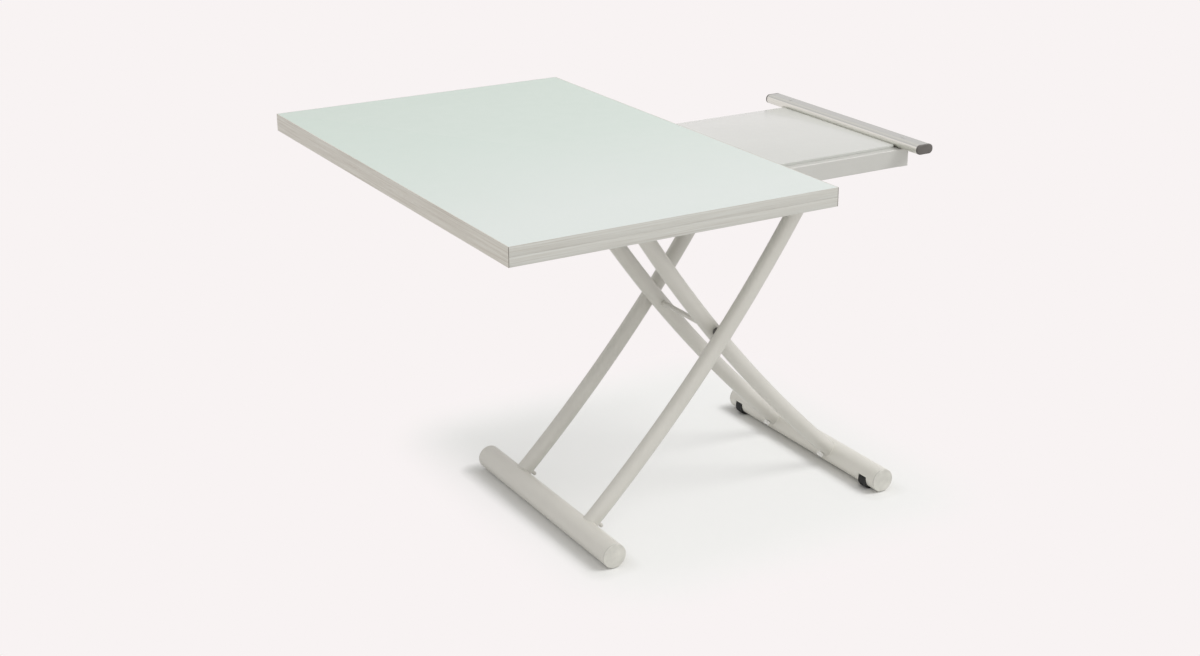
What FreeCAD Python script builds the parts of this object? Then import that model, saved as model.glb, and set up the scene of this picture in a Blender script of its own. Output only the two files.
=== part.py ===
import FreeCAD, Part
import os
import re
import Sketcher

# Extending dining table: a double top that turns and opens like a book, on a scissor base that lifts it.
# Millimetres, +Z up. The origin is on the floor under the middle of the table as it stands with the top turned
# across the base: X runs along the underframe, Y along the turned top, and the near side is -Y.

# Driving sizes: name, value, meaning.
SIZES = (
    ("top_length", 1100, "long side of the top, along Y"),
    ("top_width", 700, "short side of the top, along X"),
    ("top_height", 837, "upper face of the glass above the floor"),
    ("glass_thick", 4, "glass sheet on the upper leaf, flush inside its bands"),
    ("glass_corner", 1, "rounding of the glass sheet's upright corners"),
    ("glass_arris", 0.4, "ground arris along the glass sheet's upper edges"),
    ("upper_board", 15, "board of the upper leaf"),
    ("lower_board", 18, "board of the lower leaf"),
    ("leaf_gap", 0.4, "gap between the closed leaves"),
    ("band_thick", 1.5, "edge band of both leaves"),
    ("hinge_gap", 0.6, "book hinge axis outside the leaf's edge"),
    ("hinge_spacing", 420, "distance between neighbouring book hinges"),
    ("hinge_length", 60, "length of a book hinge"),
    ("hinge_plate_high", 11, "height of a hinge plate in the leaf's edge"),
    ("hinge_plate_thick", 2, "thickness of a hinge plate"),
    ("knuckle_radius", 3, "hinge knuckle"),
    ("knuckle_relief", 0.4, "room around a knuckle in the other half"),
    ("knuckle_gap", 0.2, "gap between neighbouring knuckles"),
    ("hinge_pin_radius", 1.4, "hinge pin"),
    ("frame_length", 1048, "underframe along X"),
    ("frame_width", 438, "underframe along Y, over the rails"),
    ("rail_height", 39, "height of the rails"),
    ("rail_depth", 30, "width of the rails' flanges"),
    ("sheet", 2.5, "steel sheet of the rails"),
    ("sheet_bend", 2, "outer bend of the folded rails"),
    ("end_depth", 24, "length of an end rail along X"),
    ("corner_radius", 6, "upright outer corner of the end rails"),
    ("bar_length", 556, "end bar with its caps"),
    ("bar_width", 42, "end bar along X"),
    ("bar_height", 21, "end bar along Z"),
    ("bar_round", 9.5, "rounding of the end bar's section"),
    ("bar_wall", 2.5, "wall of the end bar"),
    ("bar_cap", 5, "thickness of an end bar's cap"),
    ("bar_plug", 14, "length of the cap's plug in the bar"),
    ("bar_drop", 1.5, "end bar's top under the opened leaf"),
    ("bar_overhang", 14, "end bar past the end rail"),
    ("bar_screw_y", 150, "end bar's screws from the middle"),
    ("bar_screw_radius", 3, "end bar's screws"),
    ("bumper_y", 205, "clear bumpers from the middle of the end bar"),
    ("bumper_radius", 5, "clear bumper"),
    ("tray_width", 402, "white tray panel along Y"),
    ("tray_thick", 6.5, "white tray panel"),
    ("tray_gap", 0.4, "gap between the tray panel and an end bar"),
    ("tray_corner", 4, "upright corner of the tray panel"),
    ("tray_round", 1.2, "rounding of the tray panel's upper edge"),
    ("swivel_shift", 274, "how far a quarter turn moves the top's centre"),
    ("swivel_disc_radius", 60, "nylon disc that the top turns on"),
    ("swivel_plate_side", 140, "square steel plate under the lower leaf, and the cross plate's width"),
    ("swivel_plate_thick", 4, "square steel plate under the lower leaf"),
    ("swivel_screw_inset", 15, "plate's screws from its sides"),
    ("swivel_bolt_radius", 5, "upright swivel bolt"),
    ("bolt_head_radius", 10, "swivel bolt's head"),
    ("bolt_nut_radius", 8.5, "swivel bolt's thin nut"),
    ("bolt_head_thick", 4, "swivel bolt's head"),
    ("bolt_nut_thick", 5, "swivel bolt's thin nut"),
    ("head_pocket", 2, "room around the swivel bolt's head in the leaf"),
    ("wood_screw_radius", 2.5, "screws in the boards"),
    ("wood_screw_grip", 12, "screw length in the board"),
    ("screw_head_radius", 5, "screw heads"),
    ("screw_head_thick", 2.5, "screw heads"),
    ("axle_inset", 186.5, "fixed leg axle from the underframe's end"),
    ("pivot_run", 596.5, "fixed leg axle from the plain foot, along X"),
    ("axle_radius", 8, "leg axles"),
    ("axle_block", 40, "length of the blocks that hold the leg axles"),
    ("spacer_radius", 11, "spacer tubes on the leg axles"),
    ("eye_radius", 17, "eye at a leg's upper end"),
    ("eye_width", 30, "width of a leg's eye"),
    ("eye_setback", 21, "leg tube's upper end from the eye's centre"),
    ("eye_spigot", 24, "eye's spigot in the leg tube"),
    ("leg_radius", 18, "leg tube"),
    ("leg_wall", 2, "wall of the leg tube"),
    ("leg_bend", 3378, "bend radius of the leg tube's centre line"),
    ("leg_offset", 3.5, "leg's centre line under the foot's axis"),
    ("outer_leg_y", 151, "outer legs from the middle"),
    ("inner_leg_y", 106.5, "inner legs from the middle"),
    ("foot_spacing", 704, "between the feet, along X"),
    ("foot_length", 574, "foot with its caps"),
    ("foot_radius", 27, "foot tube"),
    ("foot_wall", 2, "wall of the foot tube"),
    ("foot_cap", 3, "visible disc of a foot's cap"),
    ("foot_cap_round", 1.2, "rounding of a foot cap's rim"),
    ("foot_plug", 14, "plug of the plain foot's cap"),
    ("floor_gap", 1.5, "foot tubes above the floor"),
    ("glide_length", 44, "glide under the plain foot"),
    ("glide_width", 18, "glide under the plain foot"),
    ("glide_height", 5, "height of a glide's sides"),
    ("glide_y", 235, "glides from the middle"),
    ("stud_rise", 36, "pegs and zinc screws from the foot's axis, along the leg"),
    ("stud_root", 2, "pegs and zinc screws inside the leg tube's bore"),
    ("peg_radius", 4.2, "stop peg under an outer leg"),
    ("peg_reach", 14, "stop peg past the leg tube"),
    ("peg_round", 1.5, "rounding of the stop peg's end"),
    ("leg_screw_radius", 3, "zinc screw under an inner leg"),
    ("leg_screw_head", 8, "zinc screw's head"),
    ("leg_screw_high", 9, "zinc screw's head past the leg tube"),
    ("scissor_radius", 5.8, "axle at the crossing"),
    ("bush_radius", 8, "bush at the crossing"),
    ("scissor_washer_radius", 9, "dark spacer at the crossing"),
    ("wheel_radius", 19, "wheel with its tyre"),
    ("wheel_width", 24, "wheel's tyre"),
    ("wheel_round", 2, "rounding of the tyre's shoulders"),
    ("hub_radius", 13.5, "wheel's hub"),
    ("wheel_y", 246, "wheels from the middle"),
    ("wheel_setback", 10.5, "wheels' axis from the foot's axis, along X"),
    ("wheel_axle_radius", 3, "wheel's axle"),
    ("wheel_axle_length", 40, "wheel's axle"),
    ("wheel_plug", 70, "plug of the wheeled foot's cap"),
    ("wheel_room", 1.5, "room around a wheel in its slot"),
    ("spring_radius", 11, "gas spring's cylinder"),
    ("spring_bore", 9.5, "gas spring's bore"),
    ("spring_length", 390, "gas spring's cylinder"),
    ("spring_guide", 14, "rod guide at the cylinder's mouth"),
    ("spring_floor", 6, "closed end of the cylinder"),
    ("spring_margin", 8, "piston from the closed end at full height"),
    ("piston_thick", 12, "gas spring's piston"),
    ("rod_radius", 5, "gas spring's rod"),
    ("rod_eye_radius", 14, "eye of the gas spring's rod"),
    ("rod_eye_width", 18, "eye of the gas spring's rod"),
    ("head_width", 28, "release head along Y"),
    ("head_height", 32, "release head along Z"),
    ("head_back", 16, "release head from the fixed axle towards the cylinder"),
    ("head_front", 34, "release head from the fixed axle towards the lever"),
    ("lever_x", 24, "lever's pin from the fixed axle, along X"),
    ("lever_drop", 6, "lever's pin under the fixed axle"),
    ("lever_thick", 8, "lever along Y"),
    ("lever_depth", 12, "lever's bar"),
    ("lever_fall", 47, "lever's handle under its pin"),
    ("lever_knee", 66, "lever's knee from its pin, along X"),
    ("lever_reach", 156, "lever's end from its pin, along X"),
    ("lever_pin_radius", 2.5, "lever's pin"),
    ("grip_length", 62, "lever's grip"),
    ("grip_wall", 4, "lever's grip around the bar"),
    ("pin_play", 0.05, "running clearance of pins and axles"),
    ("slide_play", 0.3, "clearance of sliding and turning faces"),
)

# Places worked out from the driving sizes: name, formula.
LAYOUT = (
    ("underside", "top_height - glass_thick - upper_board - leaf_gap - lower_board"),
    ("lower_face", "underside + lower_board"),
    ("split", "lower_face + leaf_gap / 2"),
    ("upper_face", "lower_face + leaf_gap"),
    ("glass_face", "upper_face + upper_board"),
    ("opened_face", "2 * split - top_height"),
    ("bar_top", "min(underside; opened_face) - bar_drop"),
    ("rail_top", "bar_top - bar_height"),
    ("rail_bottom", "rail_top - rail_height"),
    ("tray_top", "rail_top + tray_thick"),
    ("rail_y", "frame_width / 2 - rail_depth"),
    ("web_y", "frame_width / 2 - sheet"),
    ("frame_x", "(swivel_shift + top_width / 2 - frame_length / 2 - bar_overhang) / 2"),
    ("frame_start", "frame_x - frame_length / 2"),
    ("frame_end", "frame_x + frame_length / 2"),
    ("bar_x", "frame_end + bar_overhang - bar_width"),
    ("leaf_start", "frame_x - swivel_shift - top_width / 2"),
    ("leaf_end", "leaf_start + top_width"),
    ("hinge_x", "leaf_end + hinge_gap"),
    ("swivel_x", "frame_x - swivel_shift / 2"),
    ("swivel_y", "swivel_shift / 2"),
    ("pivot_height", "rail_top - rail_height / 2"),
    ("axle_x", "frame_end - axle_inset"),
    ("foot_x", "axle_x - pivot_run"),
    ("foot_height", "foot_radius + floor_gap"),
    ("leg_height", "foot_height - leg_offset"),
    ("wheel_foot_x", "foot_x + foot_spacing"),
    ("wheel_x", "wheel_foot_x - wheel_setback"),
    ("cross_x", "foot_x + foot_spacing / 2"),
    ("slide_x", "2 * cross_x - axle_x"),
    ("leg_rise", "pivot_height - leg_height"),
    ("chord", "sqrt(pivot_run ^ 2 + leg_rise ^ 2)"),
    ("bend_offset", "sqrt(leg_bend ^ 2 - chord ^ 2 / 4)"),
    ("bend_x", "(foot_x + axle_x) / 2 - bend_offset * leg_rise / chord"),
    ("bend_z", "(leg_height + pivot_height) / 2 + bend_offset * pivot_run / chord"),
    ("cross_height", "bend_z - sqrt(leg_bend ^ 2 - (cross_x - bend_x) ^ 2)"),
    ("foot_angle", "atan2(leg_height - bend_z; foot_x - bend_x)"),
    ("axle_angle", "atan2(pivot_height - bend_z; axle_x - bend_x)"),
    ("leg_sweep", "axle_angle - foot_angle - eye_setback / leg_bend * 180 / pi"),
    ("spring_end", "axle_x - head_back"),
    ("spring_start", "spring_end - spring_length"),
    ("lever_pin_x", "axle_x + lever_x"),
    ("lever_pin_z", "pivot_height - lever_drop"),
)

WORDS = {name: "Sizes" for name, _value, _meaning in SIZES}
WORDS.update({name: "Layout" for name, _formula in LAYOUT})

X_AXIS = FreeCAD.Vector(1, 0, 0)
Y_AXIS = FreeCAD.Vector(0, 1, 0)
Z_AXIS = FreeCAD.Vector(0, 0, 1)
# Turns that lay a cylinder's own axis, +Z, along X, Y or Z.
TURNS = {
    "x": FreeCAD.Rotation(Y_AXIS, 90),
    "y": FreeCAD.Rotation(X_AXIS, -90),
    "z": FreeCAD.Rotation(),
}
# Turns that stand a leg drawn in the XY plane upright: the outer legs lean one way, the inner legs the other.
OUTER_TURN = FreeCAD.Rotation(X_AXIS, 90)
INNER_TURN = FreeCAD.Rotation(Z_AXIS, 180).multiply(OUTER_TURN)
# Places that more than one piece uses: the end bar's screws along X, and the hinge plates' low edges.
BAR_SCREW_X = "frame_end - end_depth / 2"
LOWER_PLATE = "lower_face - hinge_plate_high"
UPPER_PLATE = "upper_face"
NEAR_ZERO = 1e-6

doc = FreeCAD.newDocument("extending_dining_table")
nodes = []


def formula(text):
    """Write a formula of plain size names as an expression of the document."""
    return re.sub(r"[a-z][a-z_]*", lambda found: own_name(found.group()), str(text))


def own_name(word):
    """Put the owner in front of a size's name, and leave a function's name as it is."""
    return f"{WORDS[word]}.{word}" if word in WORDS else word


def bind(thing, **formulas):
    """Bind properties to formulas. Base_x stands for the x of the placement's base, and so on."""
    for name, text in formulas.items():
        path = name.replace("Base_", "Placement.Base.").replace("Turn", "Placement.Rotation.Angle")
        thing.setExpression(path, formula(text))
    return thing


def make_sizes():
    """Put the driving sizes in a sheet, and the places that follow from them in a set of variables."""
    sheet = doc.addObject("Spreadsheet::Sheet", "Sizes")
    for row, (name, value, meaning) in enumerate(SIZES, 1):
        sheet.set(f"A{row}", name.replace("_", " "))
        sheet.set(f"B{row}", str(value))
        sheet.setAlias(f"B{row}", name)
        sheet.set(f"C{row}", meaning)
    doc.recompute()
    layout = doc.addObject("App::VarSet", "Layout")
    for name, text in LAYOUT:
        layout.addProperty("App::PropertyFloat", name)
        layout.setExpression(name, formula(text))
    doc.recompute()


def node(label, thing):
    """Name a finished sub-part."""
    thing.Label = label
    nodes.append(thing)
    return thing


def block(low, size):
    """Make a box from its low corner and its size, each three formulas."""
    box = doc.addObject("Part::Box", "block")
    bind(box, Base_x=low[0], Base_y=low[1], Base_z=low[2])
    return bind(box, Length=size[0], Width=size[1], Height=size[2])


def rod(along, start, radius, length):
    """Make a cylinder along an axis from the centre of its low end."""
    cylinder = doc.addObject("Part::Cylinder", "rod")
    cylinder.Placement = FreeCAD.Placement(FreeCAD.Vector(), TURNS[along])
    bind(cylinder, Base_x=start[0], Base_y=start[1], Base_z=start[2])
    return bind(cylinder, Radius=radius, Height=length)


def across(x, z, radius, length, y="0"):
    """Make a rod along Y, centred at y."""
    return rod("y", (x, f"{y} - ({length}) / 2", z), radius, length)


def fuse(*things):
    """Join solids into one."""
    union = doc.addObject("Part::MultiFuse", "union")
    union.Shapes = list(things)
    return union


def cut(base, *tools):
    """Take solids away from a base, one after another."""
    for tool in tools:
        result = doc.addObject("Part::Cut", "cut")
        result.Base = base
        result.Tool = tool
        base = result
    return base


def group(*things):
    """Put separate solids in one sub-part."""
    compound = doc.addObject("Part::Compound", "group")
    compound.Links = list(things)
    return compound


def far_copy(thing):
    """Mirror a near piece to the far side."""
    mirror = doc.addObject("Part::Mirroring", "far_copy")
    mirror.Source = thing
    mirror.Normal = Y_AXIS
    return mirror


def other_end(thing):
    """Mirror a piece of the underframe's +X end to its other end."""
    mirror = doc.addObject("Part::Mirroring", "other_end")
    mirror.Source = thing
    mirror.Normal = X_AXIS
    mirror.setExpression("Base.x", formula("frame_x"))
    return mirror


def pair(thing):
    """Put a near piece and its far copy in one sub-part."""
    return group(thing, far_copy(thing))


def upright(edge, box):
    """Is the edge along Z?"""
    return edge.BoundBox.ZLength > NEAR_ZERO and max(edge.BoundBox.XLength, edge.BoundBox.YLength) < NEAR_ZERO


def along_x(edge, box):
    """Is the edge along X?"""
    return max(edge.BoundBox.YLength, edge.BoundBox.ZLength) < NEAR_ZERO


def along_y(edge, box):
    """Is the edge along Y?"""
    return max(edge.BoundBox.XLength, edge.BoundBox.ZLength) < NEAR_ZERO


def top_rim(edge, box):
    """Is the edge in the upper face?"""
    return edge.BoundBox.ZMin > box.ZMax - NEAR_ZERO


def top_rim_outside(edge, box):
    """Is the edge in the upper face, but not where the end rail meets the side rails?"""
    return top_rim(edge, box) and not (along_y(edge, box) and edge.BoundBox.XMax < box.XMin + NEAR_ZERO)


def near_face(edge, box):
    """Is the edge along X in the near side's outer face?"""
    return along_x(edge, box) and edge.BoundBox.YMax < box.YMin + NEAR_ZERO


def far_end(edge, box):
    """Is the edge upright at the +X end?"""
    return upright(edge, box) and edge.BoundBox.XMin > box.XMax - NEAR_ZERO


def rims(edge, box):
    """Is the edge one of a disc's two rims?"""
    return edge.BoundBox.ZLength < NEAR_ZERO


def origin_plane(body, plane):
    """Find one of a body's own origin planes."""
    return next(item for item in body.Origin.OriginFeatures if item.Role == f"{plane}_Plane")


def sketch_on(body, plane):
    """Start a sketch on one of a body's own origin planes."""
    sketch = body.newObject("Sketcher::SketchObject", "outline")
    sketch.AttachmentSupport = [(origin_plane(body, plane), "")]
    sketch.MapMode = "FlatFace"
    return sketch


def pad_of(body, sketch, length):
    """Pad a sketch along its plane's normal."""
    pad = body.newObject("PartDesign::Pad", "pad")
    pad.Profile = sketch
    bind(pad, Length=length)
    doc.recompute()
    return pad


def soften(body, feature, kind, chosen, size):
    """Round or bevel the chosen edges of a body's last feature."""
    box = feature.Shape.BoundBox
    edges = [f"Edge{place}" for place, edge in enumerate(feature.Shape.Edges, 1) if chosen(edge, box)]
    softer = body.newObject(f"PartDesign::{kind}", kind.lower())
    softer.Base = (feature, edges)
    bind(softer, **{"Radius" if kind == "Fillet" else "Size": size})
    doc.recompute()
    return softer


def prism(plane, outline, length, *softened, **base):
    """Pad an outline of straight sides, whose corners are pairs of formulas, and soften some of its edges.

    The pad runs along +X from the YZ plane, along -Y from the XZ plane and along +Z from the XY plane.
    """
    body = doc.addObject("PartDesign::Body", "prism")
    sketch = sketch_on(body, plane)
    count = len(outline)
    # The corners start on a circle, and the bound distances then take them to their places.
    spots = [FreeCAD.Rotation(Z_AXIS, 360 * place / count).multVec(X_AXIS) for place in range(count)]
    for place in range(count):
        sketch.addGeometry(Part.LineSegment(spots[place], spots[(place + 1) % count]))
    for place in range(count):
        sketch.addConstraint(Sketcher.Constraint("Coincident", place, 2, (place + 1) % count, 1))
    for place, corner in enumerate(outline):
        for kind, start, text in zip(("DistanceX", "DistanceY"), spots[place], corner):
            index = sketch.addConstraint(Sketcher.Constraint(kind, -1, 1, place, 1, start))
            sketch.setExpression(f"Constraints[{index}]", formula(text))
    feature = pad_of(body, sketch, length)
    for kind, chosen, size in softened:
        feature = soften(body, feature, kind, chosen, size)
    return bind(body, **base)


def box_outline(low_a, low_b, high_a, high_b):
    """Give a rectangle's corners."""
    return ((low_a, low_b), (high_a, low_b), (high_a, high_b), (low_a, high_b))


def disc(radius, length, *softened):
    """Pad a circle around Z and soften some of its edges."""
    body = doc.addObject("PartDesign::Body", "disc")
    sketch = sketch_on(body, "XY")
    sketch.addGeometry(Part.Circle(FreeCAD.Vector(), Z_AXIS, 1))
    sketch.addConstraint(Sketcher.Constraint("Coincident", 0, 3, -1, 1))
    index = sketch.addConstraint(Sketcher.Constraint("Radius", 0, 1))
    sketch.setExpression(f"Constraints[{index}]", formula(radius))
    feature = pad_of(body, sketch, length)
    for kind, chosen, size in softened:
        feature = soften(body, feature, kind, chosen, size)
    return body


def lie_along_y(body, x, y, z, outwards=1):
    """Lay a turned piece along Y, with its softened end outwards."""
    body.Placement = FreeCAD.Placement(FreeCAD.Vector(), FreeCAD.Rotation(X_AXIS, -90 * outwards))
    return bind(body, Base_x=x, Base_y=y, Base_z=z)


def make_rails():
    """Fold the side rails, whose open sides guide the slide blocks, and the end rails with their round corners."""
    outer = "-frame_width / 2"
    section = (
        (outer, "rail_bottom"),
        ("-rail_y", "rail_bottom"),
        ("-rail_y", "rail_bottom + sheet"),
        ("-web_y", "rail_bottom + sheet"),
        ("-web_y", "rail_top - sheet"),
        ("-rail_y", "rail_top - sheet"),
        ("-rail_y", "rail_top"),
        (outer, "rail_top"),
    )
    bends = ("Fillet", near_face, "sheet_bend")
    near = prism("YZ", section, "frame_length - 2 * end_depth", bends, Base_x="frame_start + end_depth")
    node("side_rail_near", near)
    node("side_rail_far", far_copy(near))

    shell_plan = box_outline("frame_end - end_depth", outer, "frame_end", "frame_width / 2")
    shell = prism("XY", shell_plan, "rail_height", ("Fillet", far_end, "corner_radius"),
                  ("Fillet", top_rim_outside, "sheet_bend"), Base_z="rail_bottom")
    hollow_plan = box_outline("frame_end - 2 * end_depth", "-web_y", "frame_end - sheet", "web_y")
    hollow = prism("XY", hollow_plan, "rail_height", ("Fillet", far_end, "corner_radius - sheet"),
                   Base_z="rail_bottom - sheet")
    screws = [rod("z", (BAR_SCREW_X, f"{side} * bar_screw_y", "rail_bottom"), "bar_screw_radius", "rail_height")
              for side in (-1, 1)]
    outer_end = cut(shell, hollow, *screws)
    node("end_rail_outer", outer_end)
    node("end_rail_inner", other_end(outer_end))


def make_end_bars():
    """Make the flat-oval end bars that carry the opened leaf, with caps, screws and clear bumpers."""
    bar = prism("XZ", box_outline("bar_x", "rail_top", "bar_x + bar_width", "rail_top + bar_height"),
                "bar_length - 2 * bar_cap", ("Fillet", along_y, "bar_round"), Base_y="bar_length / 2 - bar_cap")
    inside = box_outline("bar_x + bar_wall", "rail_top + bar_wall", "bar_x + bar_width - bar_wall",
                         "rail_top + bar_height - bar_wall")
    hollow = prism("XZ", inside, "bar_length", ("Fillet", along_y, "bar_round - bar_wall"),
                   Base_y="bar_length / 2")
    holes = [rod("z", (BAR_SCREW_X, f"{side} * bar_screw_y", "rail_top - sheet"), "bar_screw_radius",
                 "sheet + 2 * bar_wall") for side in (-1, 1)]
    outer_bar = cut(bar, hollow, *holes)
    node("support_bar_outer", outer_bar)
    node("support_bar_inner", other_end(outer_bar))

    face = prism("XZ", box_outline("bar_x", "rail_top", "bar_x + bar_width", "rail_top + bar_height"), "bar_cap",
                 ("Fillet", along_y, "bar_round"), Base_y="-bar_length / 2 + bar_cap")
    plug = block(("bar_x + bar_round", "-bar_length / 2 + bar_cap", "rail_top + bar_wall"),
                 ("bar_width - 2 * bar_round", "bar_plug", "bar_height - 2 * bar_wall"))
    near_cap = fuse(face, plug)
    far_cap = far_copy(near_cap)
    node("bar_end_caps", group(near_cap, far_cap, other_end(near_cap), other_end(far_cap)))

    head = rod("z", (BAR_SCREW_X, "-bar_screw_y", "rail_top - sheet - screw_head_thick"), "screw_head_radius",
               "screw_head_thick")
    shank = rod("z", (BAR_SCREW_X, "-bar_screw_y", "rail_top - sheet"), "bar_screw_radius", "sheet + 3 * bar_wall")
    screw = fuse(head, shank)
    far_screw = far_copy(screw)
    node("bar_screws", group(screw, far_screw, other_end(screw), other_end(far_screw)))

    bumper = rod("z", ("bar_x + bar_width / 2", "-bumper_y", "rail_top + bar_height"), "bumper_radius",
                 "bar_drop - slide_play")
    far_bumper = far_copy(bumper)
    node("bar_bumpers", group(bumper, far_bumper, other_end(bumper), other_end(far_bumper)))


def make_tray():
    """Make the white tray panel on the rails."""
    start = "frame_start - bar_overhang + bar_width + tray_gap"
    end = "bar_x - tray_gap"
    panel = prism("XY", box_outline(start, "-tray_width / 2", end, "tray_width / 2"), "tray_thick",
                  ("Fillet", upright, "tray_corner"), ("Fillet", top_rim, "tray_round"), Base_z="rail_top")
    hole = rod("z", ("swivel_x", "swivel_y", "rail_top"), "swivel_bolt_radius", "tray_thick")
    node("tray_panel", cut(panel, hole))


def make_swivel():
    """Make the offset swivel: cross plate, bolt and nut, nylon disc, and the plate screwed to the lower leaf."""
    centre = ("swivel_x", "swivel_y")
    cross = block(("swivel_x - swivel_plate_side / 2", "-rail_y", "rail_top - sheet"),
                  ("swivel_plate_side", "2 * rail_y", "sheet"))
    nut_face = "rail_top - sheet - bolt_nut_thick"
    shank_top = "underside + slide_play"
    shank = rod("z", (*centre, nut_face), "swivel_bolt_radius", f"{shank_top} - ({nut_face})")
    head = rod("z", (*centre, shank_top), "bolt_head_radius", "bolt_head_thick")
    node("swivel_cross_plate", cut(cross, rod("z", (*centre, "rail_top - sheet"), "swivel_bolt_radius", "sheet")))
    node("swivel_bolt", fuse(shank, head))
    nut = rod("z", (*centre, nut_face), "bolt_nut_radius", "bolt_nut_thick")
    node("swivel_nut", cut(nut, rod("z", (*centre, nut_face), "swivel_bolt_radius", "bolt_nut_thick")))

    disc_thick = "underside - swivel_plate_thick - slide_play - tray_top"
    base = rod("z", (*centre, "tray_top"), "swivel_disc_radius", disc_thick)
    node("swivel_base_disc", cut(base, rod("z", (*centre, "tray_top"), "swivel_bolt_radius", disc_thick)))

    plate_low = "underside - swivel_plate_thick"
    plate = block(("swivel_x - swivel_plate_side / 2", "swivel_y - swivel_plate_side / 2", plate_low),
                  ("swivel_plate_side", "swivel_plate_side", "swivel_plate_thick"))
    bore = rod("z", (*centre, plate_low), "swivel_bolt_radius + pin_play", "swivel_plate_thick")
    holes = [rod("z", (*spot, plate_low), "wood_screw_radius", "swivel_plate_thick") for spot in screw_spots()]
    node("swivel_top_plate", cut(plate, bore, *holes))
    screws = []
    for spot in screw_spots():
        screw_head = rod("z", (*spot, f"{plate_low} - screw_head_thick"), "screw_head_radius", "screw_head_thick")
        screw_shank = rod("z", (*spot, plate_low), "wood_screw_radius", "swivel_plate_thick + wood_screw_grip")
        screws.append(fuse(screw_head, screw_shank))
    node("swivel_screws", group(*screws))


def screw_spots():
    """Give the four corners of the swivel plate's screws."""
    reach = "(swivel_plate_side / 2 - swivel_screw_inset)"
    return [(f"swivel_x + {a} * {reach}", f"swivel_y + {b} * {reach}") for a in (-1, 1) for b in (-1, 1)]


def make_fixed_axle():
    """Make the axle that the outer legs hang on, held in blocks inside the rails."""
    node("outer_leg_axle", across("axle_x", "pivot_height", "axle_radius", "2 * web_y"))
    node("axle_blocks", pair(axle_block("axle_x", "0")))
    start = "-rail_y"
    length = "rail_y - outer_leg_y - eye_width / 2 - slide_play"
    node("axle_spacers", pair(spacer_tube("axle_x", start, length)))


def axle_block(x, play):
    """Make a near block inside the rail's open side, bored for an axle."""
    bottom = f"rail_bottom + sheet + {play}"
    top = f"rail_top - sheet - {play}"
    solid = block((f"{x} - axle_block / 2", f"-web_y + {play}", bottom),
                  ("axle_block", f"rail_depth - sheet - {play}", f"{top} - ({bottom})"))
    return cut(solid, rod("y", (x, "-frame_width / 2", "pivot_height"), "axle_radius", "frame_width / 2"))


def spacer_tube(x, start, length):
    """Make a near spacer tube around a leg axle."""
    return cut(rod("y", (x, start, "pivot_height"), "spacer_radius", length),
               rod("y", (x, start, "pivot_height"), "axle_radius", length))


def make_slide():
    """Make the sliding axle of the inner legs, with its blocks in the rails and the gas spring's rod."""
    near = axle_block("slide_x", "slide_play")
    node("slide_block_near", near)
    node("slide_block_far", far_copy(near))
    node("slide_axle", across("slide_x", "pivot_height", "axle_radius", "2 * (web_y - slide_play)"))
    length = "rail_y - inner_leg_y - eye_width / 2 - slide_play"
    node("slide_spacers", pair(spacer_tube("slide_x", "-rail_y", length)))

    piston_start = "spring_end - spring_floor - spring_margin - piston_thick"
    shaft = rod("x", ("slide_x", "0", "pivot_height"), "rod_radius", f"{piston_start} - slide_x")
    piston = rod("x", (piston_start, "0", "pivot_height"), "spring_bore - pin_play", "piston_thick")
    eye = across("slide_x", "pivot_height", "rod_eye_radius", "rod_eye_width")
    bore = across("slide_x", "pivot_height", "axle_radius", "rod_eye_width")
    node("gas_spring_rod", cut(fuse(shaft, piston, eye), bore))


def make_gas_spring():
    """Make the gas spring's cylinder, the release head on the fixed axle, and the lever with its pin and grip."""
    level = ("0", "pivot_height")
    barrel = rod("x", ("spring_start", *level), "spring_radius", "spring_length")
    bore = rod("x", ("spring_start + spring_guide", *level), "spring_bore",
               "spring_length - spring_guide - spring_floor")
    mouth = rod("x", ("spring_start", *level), "rod_radius + pin_play", "spring_guide")
    node("gas_spring_cylinder", cut(barrel, bore, mouth))

    head = block(("spring_end", "-head_width / 2", "pivot_height - head_height / 2"),
                 ("head_back + head_front", "head_width", "head_height"))
    slot_width = "lever_thick + 2 * slide_play"
    slot = block(("axle_x + axle_radius + sheet", f"-({slot_width}) / 2", "pivot_height - head_height / 2"),
                 ("head_front", slot_width, "head_height"))
    axle_hole = across("axle_x", "pivot_height", "axle_radius", "head_width")
    pin_hole = across("lever_pin_x", "lever_pin_z", "lever_pin_radius", "head_width")
    node("release_head", cut(head, slot, axle_hole, pin_hole))
    node("lever_pin", across("lever_pin_x", "lever_pin_z", "lever_pin_radius", "head_width"))

    half = "lever_depth / 2"
    handle = "lever_pin_z - lever_fall"
    end = "lever_pin_x + lever_reach"
    bar = (
        (f"lever_pin_x - {half}", f"lever_pin_z + {half}"),
        (f"lever_pin_x - {half}", f"lever_pin_z - {half}"),
        ("lever_pin_x + lever_knee - lever_depth", f"{handle} - {half}"),
        (end, f"{handle} - {half}"),
        (end, f"{handle} + {half}"),
        ("lever_pin_x + lever_knee", f"{handle} + {half}"),
        (f"lever_pin_x + {half}", f"lever_pin_z + {half}"),
    )
    lever = prism("XZ", bar, "lever_thick", Base_y="lever_thick / 2")
    pin_bore = across("lever_pin_x", "lever_pin_z", "lever_pin_radius + pin_play", "lever_thick")
    node("release_lever", cut(lever, pin_bore))

    grip_start = f"{end} - grip_length + grip_wall"
    low = f"{handle} - {half} - grip_wall"
    high = f"{handle} + {half} + grip_wall"
    sleeve = prism("XZ", box_outline(grip_start, low, f"{end} + grip_wall", high), "lever_thick + 2 * grip_wall",
                   ("Fillet", along_y, "grip_wall"), Base_y="lever_thick / 2 + grip_wall")
    core = block((grip_start, "-lever_thick / 2", f"{handle} - {half}"),
                 ("grip_length - grip_wall", "lever_thick", "lever_depth"))
    node("lever_grip", cut(sleeve, core))


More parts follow.
